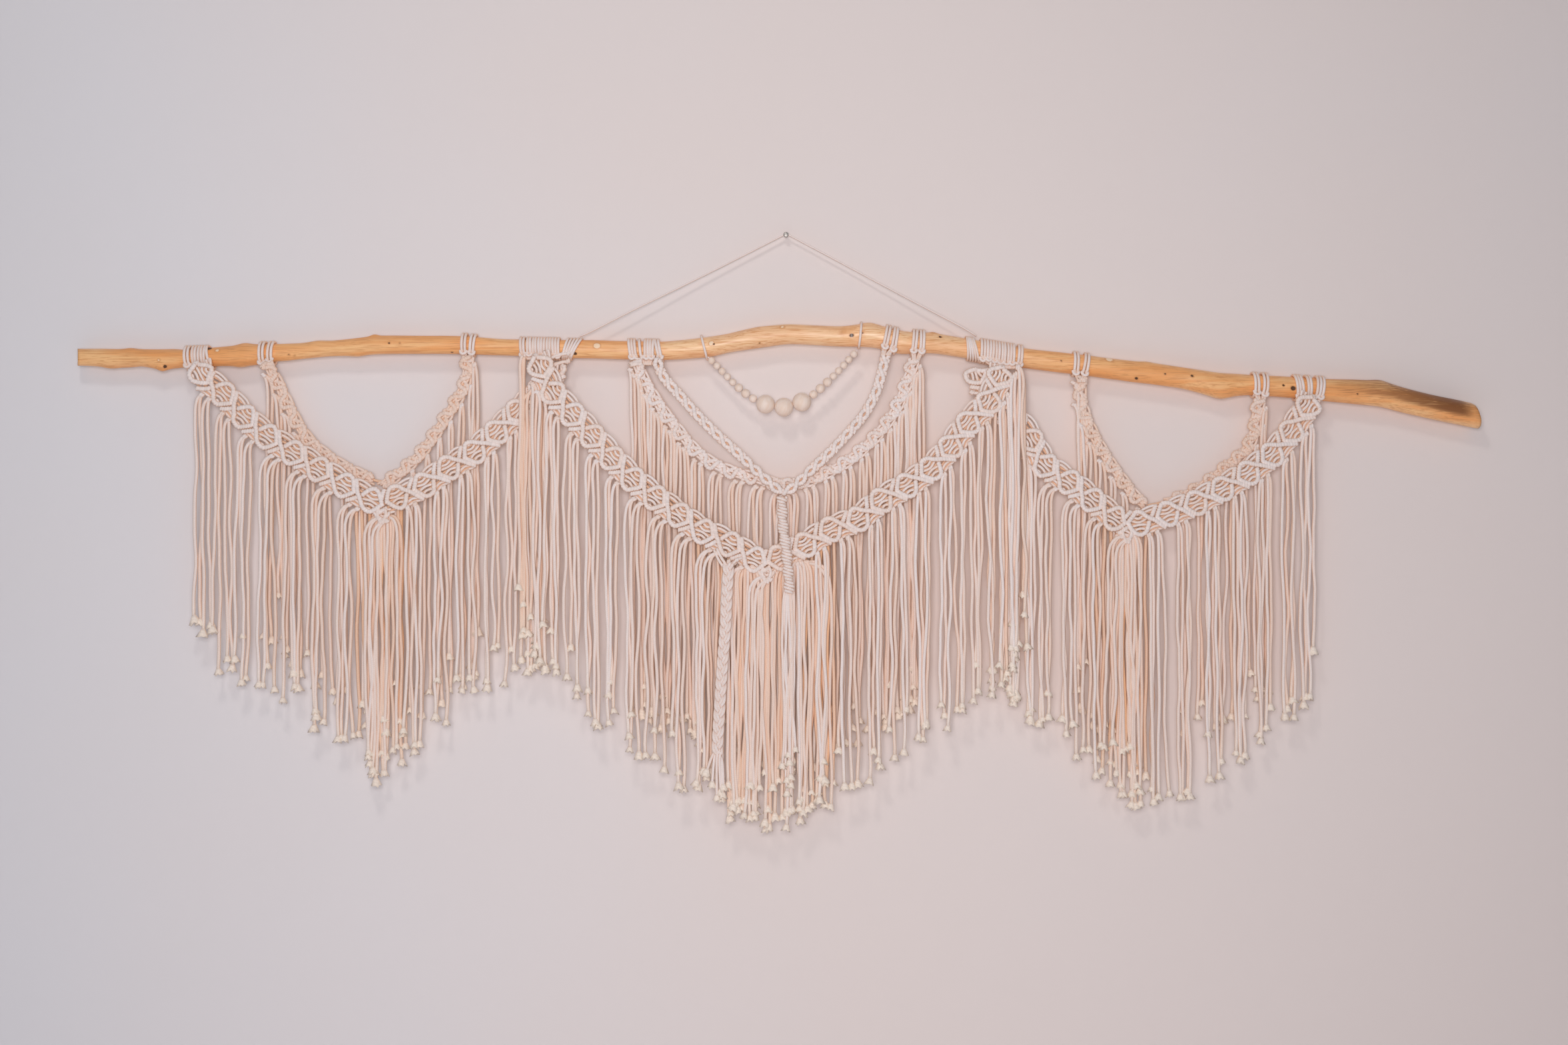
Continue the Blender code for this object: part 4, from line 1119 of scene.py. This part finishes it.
def lattice_skin(name, rng):
    """Inner band: two rows of half hitches that swing from edge to edge and cross between the holes, as
    across = +-swing * cos(pi (along - first hole) / pitch), with a small knot at each edge beside every
    crossing."""
    band = BAND[name]
    swing, coil, edge = 4.6, 3.7, 5.6
    coils = int(band.length / coil)
    run = np.linspace(0, band.length, coils * 2)
    turn = np.pi * (run - band.middles[0]) / band.pitch
    skins = [lining(band, PLAIN_LINING, rng)]
    for sign in (1, -1):
        paths = band.at(run, sign * swing * np.cos(turn), 0.6 + 1.2 * sign * np.sin(turn))[None]
        skins.append(hitch_bars(paths, coils, 3.8, tint=0.03, lean=0.2 * sign))
    crossings = band.middles[:-1] + band.pitch / 2
    for across in (-edge, edge):
        middles, ahead = band.row(crossings, across, 0.3), band.row(crossings + 3, across, 0.3)
        skins.append(small_knots(middles, unit(ahead - middles), *band.sort["knots"], rng))
    return skins


def junction_skin(band, rng):
    """Bow where two bands meet: two short rows down to a point, a loop under it and a knot round them."""
    x, z = band.line[-1] - np.array([0, BOW_DROP])
    right = [[(0.9, 0, 0.15), (0.55, -1, -0.35), (0.05, -1, -0.75)],
             [(0.3, -1, 0.6), (0.5, -2, 0.0), (0.1, -2, -1.2)]]
    mirror = np.array([[-1.0, 1, 1], [1, 1, 1]])[:, None, None]
    spots = (np.array(right) * mirror).swapaxes(0, 1).reshape(4, 3, 3)
    spots = spots * np.array([BOW_SIZE, 1.0, BOW_SIZE]) + np.array([x, band.plane, z])
    bars = hitch_bars(spots, 4, 2.8, tint=rng.uniform(0, 0.2, 4))
    middle = np.array([[x, band.plane - 2.2, z - 0.9 * BOW_SIZE]])
    knot = small_knots(middle, np.array([[1.0, 0, 0]]), 3.2, 2.8, rng)
    return join([bars, knot])


# --- Fringes, sennit, braid and beads ---


def strand_paths(roots, hang_x, tips, planes, rng, sway=1.0):
    """Hanging strands: x goes from the root to its own plumb line as 1 - exp(-drop / bend), then drifts to
    the tip with the square root of the cube of its share, plus two slow sine waves; y goes to the layer's
    plane likewise."""
    count = len(roots)
    share = np.array(DROPS)[None]
    drop = (roots[:, 2] - tips[:, 1])[:, None] * share
    away = (hang_x - roots[:, 0])[:, None]
    straightened = BEND + BEND_ASIDE * np.abs(away)
    loose = 1 - np.exp(-drop / FREE_DROP)
    waves = np.zeros_like(drop)
    for low, high, least, most in WAVES:
        length = rng.uniform(low, high, (count, 1))
        phase = rng.uniform(0, 2 * np.pi, (count, 1))
        tall = rng.uniform(least, most, (count, 1)) * sway
        waves += tall * (np.sin(2 * np.pi * drop / length + phase) - np.sin(phase))
    x = roots[:, :1] + away * (1 - np.exp(-drop / straightened))
    x = x + (tips[:, 0] - hang_x)[:, None] * share ** 1.5 + waves * loose
    y = roots[:, 1:2] + (planes - roots[:, 1])[:, None] * (1 - np.exp(-drop / LAYER_DROP))
    y = y + rng.uniform(-1.2, 1.2, (count, 1)) * np.sin(np.pi * share * rng.uniform(1, 3, (count, 1)))
    arch = ARCH * np.clip(np.abs(away) / ARCH_ASIDE, 0, 1)
    z = roots[:, 2:] - drop + arch * (drop / ARCH_DROP) * np.exp(1 - drop / ARCH_DROP)
    return np.stack([x, y, z], axis=-1)


def brush_skin(ends, ways, sizes, tint, rng):
    """Frayed ends: a bell whose radius grows by flare * share ^ 0.9 along each end's way, every other
    corner of its rim drawn out into a tuft, and its middle left hollow."""
    corners = 12
    share = np.array([0.0, 0.32, 0.95, 1.0])
    count = len(ends)
    flare = rng.uniform(0.75, 1.2, (count, 1)) * sizes[:, None]
    radii = ((BRUSH_RADIUS + flare * share ** 0.9) * np.array([1, 1, 1, 0.85]))[:, :, None]
    torn = (share ** 2)[None, :, None]
    tuft = np.where(np.arange(corners) % 2, -1.0, 1.0)
    spread = radii * (1 + torn * (0.16 * tuft + rng.uniform(-0.2, 0.2, (count, 1, corners))))
    ragged = torn * (1.5 * tuft + rng.uniform(-1.6, 1.4, (count, 1, corners)))
    fall = share[None, :, None] * (BRUSH_LENGTH + 1.4 * flare)[:, :, None] + ragged
    reach = spokes(ways, corners)[:, None]
    rings = ends[:, None, None] + spread[..., None] * reach + fall[..., None] * ways[:, None, None]
    run = np.broadcast_to(share * 0.7, (count, len(share)))
    return grid_skin(rings, run, tint, np.broadcast_to(0.5 + 0.5 * share, run.shape), domed=-0.2)


def loose_ends(paths, shade, sizes, rng):
    """Plain hanging strands with their frayed ends, tinted up to shade."""
    count = len(paths)
    strands = cords(paths, tint=rng.uniform(0, shade, count))
    ways = unit(paths[:, -1] - paths[:, -2])
    brushes = brush_skin(paths[:, -1] - ways, ways, rng.uniform(*sizes, count), np.zeros(count), rng)
    return [strands, brushes]


def knot_strands(name, band):
    """Two strands out of each knot of a band, as roots, plumb lines and planes."""
    middles = band.row(band.middles, 0.0, 0.0)[KNOTLESS.get(name, 0):]
    for row, (_, _, offsets) in zip(knot_places(name), knot_rows(name)):
        for number, offset in enumerate(offsets):
            root = row + np.array([1.8 * number - 0.9, 0, -1.0])
            plane = band.plane - NEAREST + LAYER_STEP * number
            yield root, middles[:, 0] + offset, np.full(len(row), plane)


def more_strands(more, band, rng):
    """Strands gathered from one spot towards a range of plumb lines, as roots, plumb lines and planes."""
    for root_x, root_z, near, far, count in more:
        x = np.linspace(near, far, count) + rng.uniform(-0.8, 0.8, count)
        deep = rng.uniform(0.5, 4.5, count)
        from_x = root_x + 0.35 * (x - root_x)
        root = np.column_stack([from_x, band.plane + deep - 1, root_z + rng.uniform(-3, 3, count)])
        yield root, x, band.plane + deep


def fill_strands(band, left, right, rng):
    """Strands behind the others near the point of the V, as roots, plumb lines and planes."""
    point = band.line[-1, 0]
    reach = FILL_REACH.get(band.plane, 0)
    x = np.arange(max(left, point - reach) + 2.5, min(right, point + reach) - 2, FILL_STEP)
    x = x + rng.uniform(-2, 2, len(x))
    order = np.argsort(band.line[:, 0])
    line_z = np.interp(x, band.line[order, 0], band.line[order, 1])
    deep = rng.uniform(4.0, 6.5, len(x))
    root = np.column_stack([x, band.plane + deep, line_z - 0.3 * band.sort["half_width"]])
    return root, x, band.plane + deep


def fringe_skin(band_name, left, right, outline, more, rng):
    """One band's fringe: two strands out of each knot, more strands behind them, and their frayed ends."""
    band = BAND[band_name]
    sets = [*knot_strands(band_name, band), *more_strands(more, band, rng)]
    sets.append(fill_strands(band, left, right, rng))
    fill = len(sets[-1][0])
    roots, hang, planes = (np.concatenate(part) for part in zip(*sets))
    count = len(roots)
    behind = np.arange(count) >= count - fill
    inward = rng.uniform(2, 26, count)
    hang = np.where(hang < left, left + inward, np.where(hang > right, right - inward, hang))
    group = np.round(hang / GATHER) * GATHER
    tip_x = hang + DRAWN_SHARE * (group - hang) + rng.uniform(-4.5, 4.5, count)
    shorter = np.where(rng.random(count) < SHORT_SHARE, rng.uniform(*MUCH_SHORTER, count),
                       rng.uniform(*LITTLE_SHORTER, count))
    tip_z = np.interp(tip_x, *np.array(outline, float).T) + shorter + LIFTED + LIFTED_BEHIND * behind
    tips = np.column_stack([tip_x, np.minimum(tip_z, roots[:, 2] - SHORTEST_STRAND)])
    paths = strand_paths(roots, hang, tips, planes + rng.uniform(-0.8, 0.8, count), rng)
    # Tint: random tone, plus painted depth shade for the narrow bands' fringes, for each layer further back
    # and, deepest, for the strands behind.
    low = NARROW_TINT if band.sort is NARROW else 0.0
    deeper = DEPTH_TINT * (planes - band.plane + NEAREST)
    tint = np.clip(low + rng.uniform(0, 0.2, count) + deeper, 0, 0.5)
    tint[behind] = rng.uniform(0.4, 0.9, fill)
    fade = np.clip((np.array(DROPS) - 0.9) * 4, 0, 0.4)
    fade, radius = np.tile(fade, (count, 1)), STRAND_SWELL * CORD_RADIUS
    strands = [cords(paths[chosen], radius, corners, tint[chosen], fade[chosen])
               for chosen, corners in ((~behind, 7), (behind, 6))]
    ways = unit(paths[:, -1] - paths[:, -2] + rng.uniform(-1, 1, (count, 3)) * np.array([2.5, 2.0, 0]))
    brushes = brush_skin(paths[:, -1] - ways * 0.8, ways, rng.uniform(*BRUSH_FLARE, count), tint * 0.4, rng)
    return join([*strands, brushes])


def sennit_skin(rng):
    """Half knots turned into a spiral: two cords wound round a core as middle + reach(angle) * (cos a, sin
    a), where the reach has one lobe that goes round slowly, and then the core's own cords hanging loose."""
    steps = int(SENNIT_TURNS * 18)
    core = smooth(SENNIT, steps)
    # The core, inside the spiral, is coloured with painted depth shade.
    skins = [cords(core[None], SENNIT_CORE, corners=10, tint=0.4)]
    share = np.linspace(0, 1, steps)
    for start in (0.0, np.pi):
        angle = start + share * SENNIT_TURNS * 2 * np.pi
        reach = SENNIT_REACH + SENNIT_LOBE * np.cos(2 * (angle - share * 2 * np.pi * LOBE_TURNS))
        x, y = reach * SENNIT_WIDTH * np.cos(angle), reach * SENNIT_DEPTH * np.sin(angle)
        path = core + np.column_stack([x, y, 0 * angle])
        skins.append(cords(path[None], CORD_RADIUS * 1.03, facing=np.array([0.0, 0.0, 1.0]), tint=0.05))
    count = 8
    x = 3.0 + np.linspace(-6.5, 9, count)
    roots = np.column_stack([5 + np.linspace(-4, 4, count), np.full(count, -52.5), np.full(count, -532.0)])
    tips = np.column_stack([x + rng.uniform(-6, 8, count), -835 + rng.uniform(0, 75, count)])
    paths = strand_paths(roots, x, tips, LOOSE_PLANE + rng.uniform(-1.5, 1.5, count), rng)
    return join(skins + loose_ends(paths, 0.3, (3.6, 5.2), rng))


def braid_skin(rng):
    """Flat plait of three doubled cords: x = swing * sin(a), y = depth * sin(2 a), a third of a turn apart,
    then the loose ends under it."""
    steps = 150
    core = smooth(BRAID, steps)
    run = np.linspace(0, run_of(core)[-1], steps)
    paths = []
    for strand in range(3):
        angle = 2 * np.pi * (run / BRAID_WAVE + strand / 3)
        x, y = BRAID_SWING * np.sin(angle), BRAID_DEPTH * np.sin(2 * angle)
        swung = core + np.column_stack([x, y, 0 * angle])
        side = np.cross(unit(np.gradient(swung, axis=0)), WALLWARD)
        paths += [swung + side * shift for shift in (-BRAID_PAIR, BRAID_PAIR)]
    skins = [cords(np.stack(paths), CORD_RADIUS * 1.12, tint=rng.uniform(0, 0.15, len(paths)))]
    start = np.stack([path[-1] for path in paths]) + np.array([0, 0, 3.0])
    hang = core[-1, 0] + np.array([-9, -5, -1, 3, 6, 8])
    tips = np.column_stack([hang + np.array([-6, -3, 0, 2, 2, 1]), [-799, -818, -838, -829, -834, -822]])
    loose = strand_paths(start, hang, tips, np.full(len(paths), LOOSE_PLANE), rng, sway=0.4)
    skins += loose_ends(loose, 0.2, (3.4, 4.8), rng)
    top = np.array([BRAID[0][0], 0, 0])
    roots = top + np.array([[(-18, -47, -472), (-12, -50, -484), (-4, -51, -496)],
                            [(-22, -46, -474), (-15, -49, -489), (-6, -51, -502)],
                            [(20, -47, -486), (12, -51, -489), (3, -52, -498)]])
    skins.append(cords(smooth_paths(roots, 8), CORD_RADIUS, tint=0.1))
    skins.append(small_knots(top + np.array([[0, -53.5, -491.0], [12, -51, -489.0]]),
                             np.array([[1.0, 0, 0.2], [0.9, 0, 0.4]]), 3.3, 2.6, rng))
    return join(skins)


def garland_stops():
    """Points where the garland's cord bends: its two ends and each meeting of two beads."""
    curve = through(GARLAND_ROUTE, 30)
    run = run_of(curve)
    beads = LEFT_BEADS + BIG_BEADS + RIGHT_BEADS
    lead = (run[-1] - sum(beads)) / 2
    at = np.concatenate([[0], lead + np.concatenate([[0], np.cumsum(beads)]), [run[-1]]])
    x, z = (np.interp(at, run, column) for column in curve.T)
    return np.column_stack([x, np.full(len(x), GARLAND_Y), z])


def beads_skin(start, stop, rows, corners):
    """Turned beads between their stops: radius * (cos a, sin a) round the cord, the angle from mouth to
    mouth, then back through the bore, as one looped grid for each bead."""
    length = np.linalg.norm(stop - start, axis=1)
    axis = (stop - start) / length[:, None]
    radius = length / 2 - GAP / 2
    mouth = np.arcsin((BORE_RADIUS + 0.1) / radius)[:, None]
    polar = mouth + (np.pi - 2 * mouth) * np.linspace(0, 1, rows)[None]
    out, run = radius[:, None] * np.sin(polar), -radius[:, None] * np.cos(polar)
    back = np.linspace(1, 0, 4)[None]
    inner = back * run[:, -1:] + (1 - back) * run[:, :1]
    out = np.concatenate([out, np.full(inner.shape, BORE_RADIUS)], axis=1)
    run = np.concatenate([run, inner * 0.96], axis=1)
    middle = ((start + stop) / 2)[:, None, None]
    rings = (middle + run[:, :, None, None] * axis[:, None, None]
             + out[:, :, None, None] * spokes(axis, corners)[:, None])
    return grid_skin(rings, (run - run.min()) / 10, looped=True)


# --- Settings, operators and panel ---


def colour_property(name, description, default):
    """A colour that a user may change."""
    return FloatVectorProperty(name=name, description=description, subtype="COLOR", size=3, min=0, max=1,
                               default=default)


class CordSettings(bpy.types.PropertyGroup):
    """Colours and twist of the cotton cord."""

    face: colour_property("Face", "Colour of the cord where it faces the room", (0.915, 0.835, 0.815))
    # Painted shade colour: cord sides turned from the room and cords deep in the work are mixed towards it.
    depth: colour_property("Depth", "Colour of the cord deep in the work", (0.885, 0.51, 0.27))
    tip: colour_property("Tip", "Colour of the frayed ends", (1.0, 0.89, 0.77))
    twist_depth: FloatProperty(name="Twist depth", description="Depth of the grooves between the plies",
                               default=0.0001, min=0, unit="LENGTH")


class WoodSettings(bpy.types.PropertyGroup):
    """Colours of the branch and of the beads."""

    pale: colour_property("Pale wood", "Light bands of the branch", (0.98, 0.60, 0.29))
    honey: colour_property("Honey wood", "Darker bands of the branch", (0.92, 0.42, 0.15))
    streak: colour_property("Streak", "Fine streaks of the grain", (0.70, 0.31, 0.115))
    dark: colour_property("Knot", "Knots and holes of the branch", (0.10, 0.045, 0.02))
    # The weathered grey is left off the branch's lower side, which stays honey as a painted lit edge.
    grey: colour_property("Weathered", "Weathered right end of the branch", (0.27, 0.105, 0.035))
    # Also laid over the middle of the branch as a painted pool of light.
    fresh: colour_property("Fresh wood", "Pale knots and sawn end of the branch", (1.0, 0.78, 0.56))
    bead_pale: colour_property("Pale bead", "Light bands of the beads", (0.91, 0.785, 0.705))
    bead_warm: colour_property("Warm bead", "Darker bands of the beads", (0.87, 0.71, 0.60))


class StageSettings(bpy.types.PropertyGroup):
    """Wall, floor, lights and camera."""

    wall: colour_property("Wall", "Paint of the wall", (0.82, 0.755, 0.745))
    # Painted cool light, laid over the wall towards the left and in random patches.
    wall_cool_light: colour_property("Wall, cooler", "Cooler patches of the wall's paint", (0.80, 0.805, 0.85))
    floor: colour_property("Floor", "Colour of the floor", (0.80, 0.76, 0.74))
    sky: colour_property("Room light", "Colour of the light from all round", (0.80, 0.83, 0.90))
    sky_strength: FloatProperty(name="Room light strength", default=0.26, min=0,
                                description="Strength of the light from all round")
    fill_power: FloatProperty(name="Fill light power", default=36, min=0, unit="POWER",
                              description="Power of the broad light beside the camera")
    key_power: FloatProperty(name="Key light power", default=10, min=0, unit="POWER",
                             description="Power of the soft light above the camera")
    lens: FloatProperty(name="Lens", default=40, min=10,
                        description="Focal length of the camera in millimetres")
    distance: FloatProperty(name="Camera distance", default=2.6144, min=0.5, unit="LENGTH",
                            description="From the camera to the branch")


def cotton_piece(name, skin, *nodes):
    """A piece of cotton cord that stands for its CAD nodes."""
    look = finish_of(cotton_cord_twisted, bpy.context.scene.hanging_cord)
    return make_piece(name, skin, look, "cotton_cord", *nodes)


def add_plane(name, corners, look):
    """One flat face of the stage."""
    mesh = bpy.data.meshes.new(name)
    mesh.from_pydata(corners, [], [(0, 1, 2, 3)])
    mesh.materials.append(look)
    in_scene(name, mesh)


def add_light(name, place, size, power, colour):
    """A square area light at a place, turned to the middle of the hanging."""
    lamp = bpy.data.lights.new(name, "AREA")
    lamp.size, lamp.energy, lamp.color = size, power, colour
    light = in_scene(name, lamp)
    light.location = place
    light.rotation_euler = (Vector(LIGHTS_AIM) - Vector(place)).to_track_quat("-Z", "Y").to_euler()


class Maker:
    """What every operator does: it builds its pieces from random numbers of its own seed."""

    seed = 0

    def execute(self, context):
        self.build(context.scene, np.random.default_rng(self.seed))
        return {"FINISHED"}


class HANGING_OT_stage(Maker, bpy.types.Operator):
    """Wall, floor, soft lights and the camera straight in front."""

    bl_idname = "hanging.stage"
    bl_label = "Stage"

    def build(self, scene, rng):
        settings = scene.hanging_stage
        add_plane("wall", [(x, WALL_Y, z) for x, z in ((-4, FLOOR_Z), (4, FLOOR_Z), (4, 2.2), (-4, 2.2))],
                  finish_of(wall_paint, settings))
        add_plane("floor", [(x, y, FLOOR_Z) for x, y in ((-6, -7), (6, -7), (6, 5), (-6, 5))],
                  finish_of(floor_paint, settings))
        add_light("key", (-0.5, -2.1, 1.6), 0.35, settings.key_power, (1.0, 0.92, 0.86))
        add_light("fill", (-0.1, -2.8, -0.3), 0.8, settings.fill_power, (1.0, 0.95, 0.94))
        add_light("behind", (0.4, 2.6, 1.2), 2.0, BEHIND_POWER, (1.0, 0.98, 0.97))
        scene.world = bpy.data.worlds.new("room")
        scene.world.use_nodes = True
        Graph(scene.world.node_tree).put(scene.world.node_tree.nodes["Background"],
                                         {"Color": (*settings.sky, 1), "Strength": settings.sky_strength})
        camera = in_scene("camera", bpy.data.cameras.new("camera"))
        camera.data.lens, camera.data.sensor_width = settings.lens, SENSOR_WIDTH
        camera.location = (CAMERA_X, BRANCH_Y * MM - settings.distance, CAMERA_Z)
        camera.rotation_euler = (math.pi / 2, 0, 0)
        scene.camera = camera
        scene.view_settings.view_transform = "Standard"


class HANGING_OT_branch(Maker, bpy.types.Operator):
    """Peeled branch with its knots and sawn ends."""

    bl_idname = "hanging.branch"
    bl_label = "Branch"

    def build(self, scene, rng):
        look = finish_of(branch_wood_peeled, scene.hanging_wood)
        make_piece("branch_peeled", branch_skin(), look, "branch_wood", "branch")


class HANGING_OT_hanger(Maker, bpy.types.Operator):
    """Screw, the two thin strands over it and the turns that hold them."""

    bl_idname = "hanging.hanger"
    bl_label = "Screw and hanger"
    seed = 11

    def build(self, scene, rng):
        make_piece("screw_turned", screw_skin(), finish_of(screw_steel_worn), "screw_steel", "screw")
        for number, plane in enumerate(STRAND_PLANES, 1):
            route = hanger_route(plane)
            piece = free_cord(f"hanger_thin_{number}", route, STRAND_RADIUS, f"hanger_strand_{number}")
            run_of(route)[-1] * MM
        for name, *sizes in WRAPS:
            cotton_piece(f"{name}_turns", wrap_skin(*sizes, rng), name)


class HANGING_OT_loops(Maker, bpy.types.Operator):
    """Lark's heads that hold the bands on the branch."""

    bl_idname = "hanging.loops"
    bl_label = "Lark's heads"
    seed = 21

    def build(self, scene, rng):
        for name, *sizes in LOOPS:
            cotton_piece(f"{name}_cords", loops_skin(*sizes, rng), name)


class HANGING_OT_wide_bands(Maker, bpy.types.Operator):
    """Six wide bands of diamonds."""

    bl_idname = "hanging.wide_bands"
    bl_label = "Wide bands"
    seed = 31

    def build(self, scene, rng):
        for name in bands_of(WIDE):
            skins = band_skin(name, WIDE_BARS, WIDE_FILLERS, WIDE_EDGE_CORDS, WIDE_LINING, rng)
            if BAND[name].side > 0:
                skins.append(junction_skin(BAND[name], rng))
            cotton_piece(f"{name}_knots", join(skins), name)


class HANGING_OT_narrow_bands(Maker, bpy.types.Operator):
    """Six narrow zigzag bands."""

    bl_idname = "hanging.narrow_bands"
    bl_label = "Narrow bands"
    seed = 41

    def build(self, scene, rng):
        for name in bands_of(NARROW):
            skins = band_skin(name, NARROW_BARS, NARROW_FILLERS, (), NARROW_LINING, rng)
            cotton_piece(f"{name}_knots", join(skins), name)


class HANGING_OT_inner_bands(Maker, bpy.types.Operator):
    """The two inner bands of the small V."""

    bl_idname = "hanging.inner_bands"
    bl_label = "Inner bands"
    seed = 51

    def build(self, scene, rng):
        for name in bands_of(PLAIN):
            cotton_piece(f"{name}_knots", join(lattice_skin(name, rng)), name)


class HANGING_OT_fringes(Maker, bpy.types.Operator):
    """Strands that hang from the bands, with their frayed ends."""

    bl_idname = "hanging.fringes"
    bl_label = "Fringes"
    seed = 61

    def build(self, scene, rng):
        for band_name, *facts in FRINGES:
            name = f"fringe_{band_name}"
            cotton_piece(f"{name}_strands", fringe_skin(band_name, *facts, rng), name)


class HANGING_OT_plaits(Maker, bpy.types.Operator):
    """Spiral sennit and flat braid in the middle."""

    bl_idname = "hanging.plaits"
    bl_label = "Sennit and braid"
    seed = 71

    def build(self, scene, rng):
        cotton_piece("sennit_spiral", sennit_skin(rng), "sennit")
        cotton_piece("braid_plait", braid_skin(rng), "braid")


class HANGING_OT_garland(Maker, bpy.types.Operator):
    """Garland of wooden beads on a thin cord."""

    bl_idname = "hanging.garland"
    bl_label = "Bead garland"

    def build(self, scene, rng):
        stops = garland_stops()
        look = finish_of(bead_wood_raw, scene.hanging_wood)
        left, big = len(LEFT_BEADS), len(BIG_BEADS)
        groups = [("beads_left", 0, left), ("beads_right", left + big, len(stops) - 3)]
        groups += [(f"bead_big_{number + 1}", left + number, left + number + 1) for number in range(big)]
        for name, first, last in groups:
            rows, corners = (26, 40) if last - first == 1 else (16, 24)
            skin = beads_skin(stops[1 + first:1 + last], stops[2 + first:2 + last], rows, corners)
            make_piece(f"{name}_turned", skin, look, "bead_wood", name)
        route = smooth_paths(stops[None], 60)[0]
        thread = free_cord("garland_thread", route, GARLAND_RADIUS, "garland_cord")
        run_of(route)[-1] * MM


class HANGING_PT_panel(bpy.types.Panel):
    """Pieces of the wall hanging, in the order they are made."""

    bl_idname = "HANGING_PT_panel"
    bl_label = "Wall hanging"
    bl_space_type = "VIEW_3D"
    bl_region_type = "UI"
    bl_category = "Hanging"

    def draw(self, context):
        column = self.layout.column(align=True)
        for operator in OPERATORS:
            column.operator(operator.bl_idname)
        for name, _ in SETTINGS:
            group = getattr(context.scene, name)
            box = self.layout.box()
            for key in group.__annotations__:
                box.prop(group, key)


OPERATORS = (
    HANGING_OT_stage,
    HANGING_OT_hanger,
    HANGING_OT_garland,
    HANGING_OT_branch,
    HANGING_OT_loops,
    HANGING_OT_wide_bands,
    HANGING_OT_narrow_bands,
    HANGING_OT_inner_bands,
    HANGING_OT_fringes,
    HANGING_OT_plaits,
)
SETTINGS = (
    ("hanging_cord", CordSettings),
    ("hanging_wood", WoodSettings),
    ("hanging_stage", StageSettings),
)


def register():
    for name, group in SETTINGS:
        bpy.utils.register_class(group)
        setattr(bpy.types.Scene, name, PointerProperty(type=group))
    for kind in (*OPERATORS, HANGING_PT_panel):
        bpy.utils.register_class(kind)


def unregister():
    for kind in (HANGING_PT_panel, *reversed(OPERATORS)):
        bpy.utils.unregister_class(kind)
    for name, group in reversed(SETTINGS):
        delattr(bpy.types.Scene, name)
        bpy.utils.unregister_class(group)


def main():
    register()
    for operator in OPERATORS:
        area, name = operator.bl_idname.split(".")
        getattr(getattr(bpy.ops, area), name)()


if __name__ == "__main__":
    main()
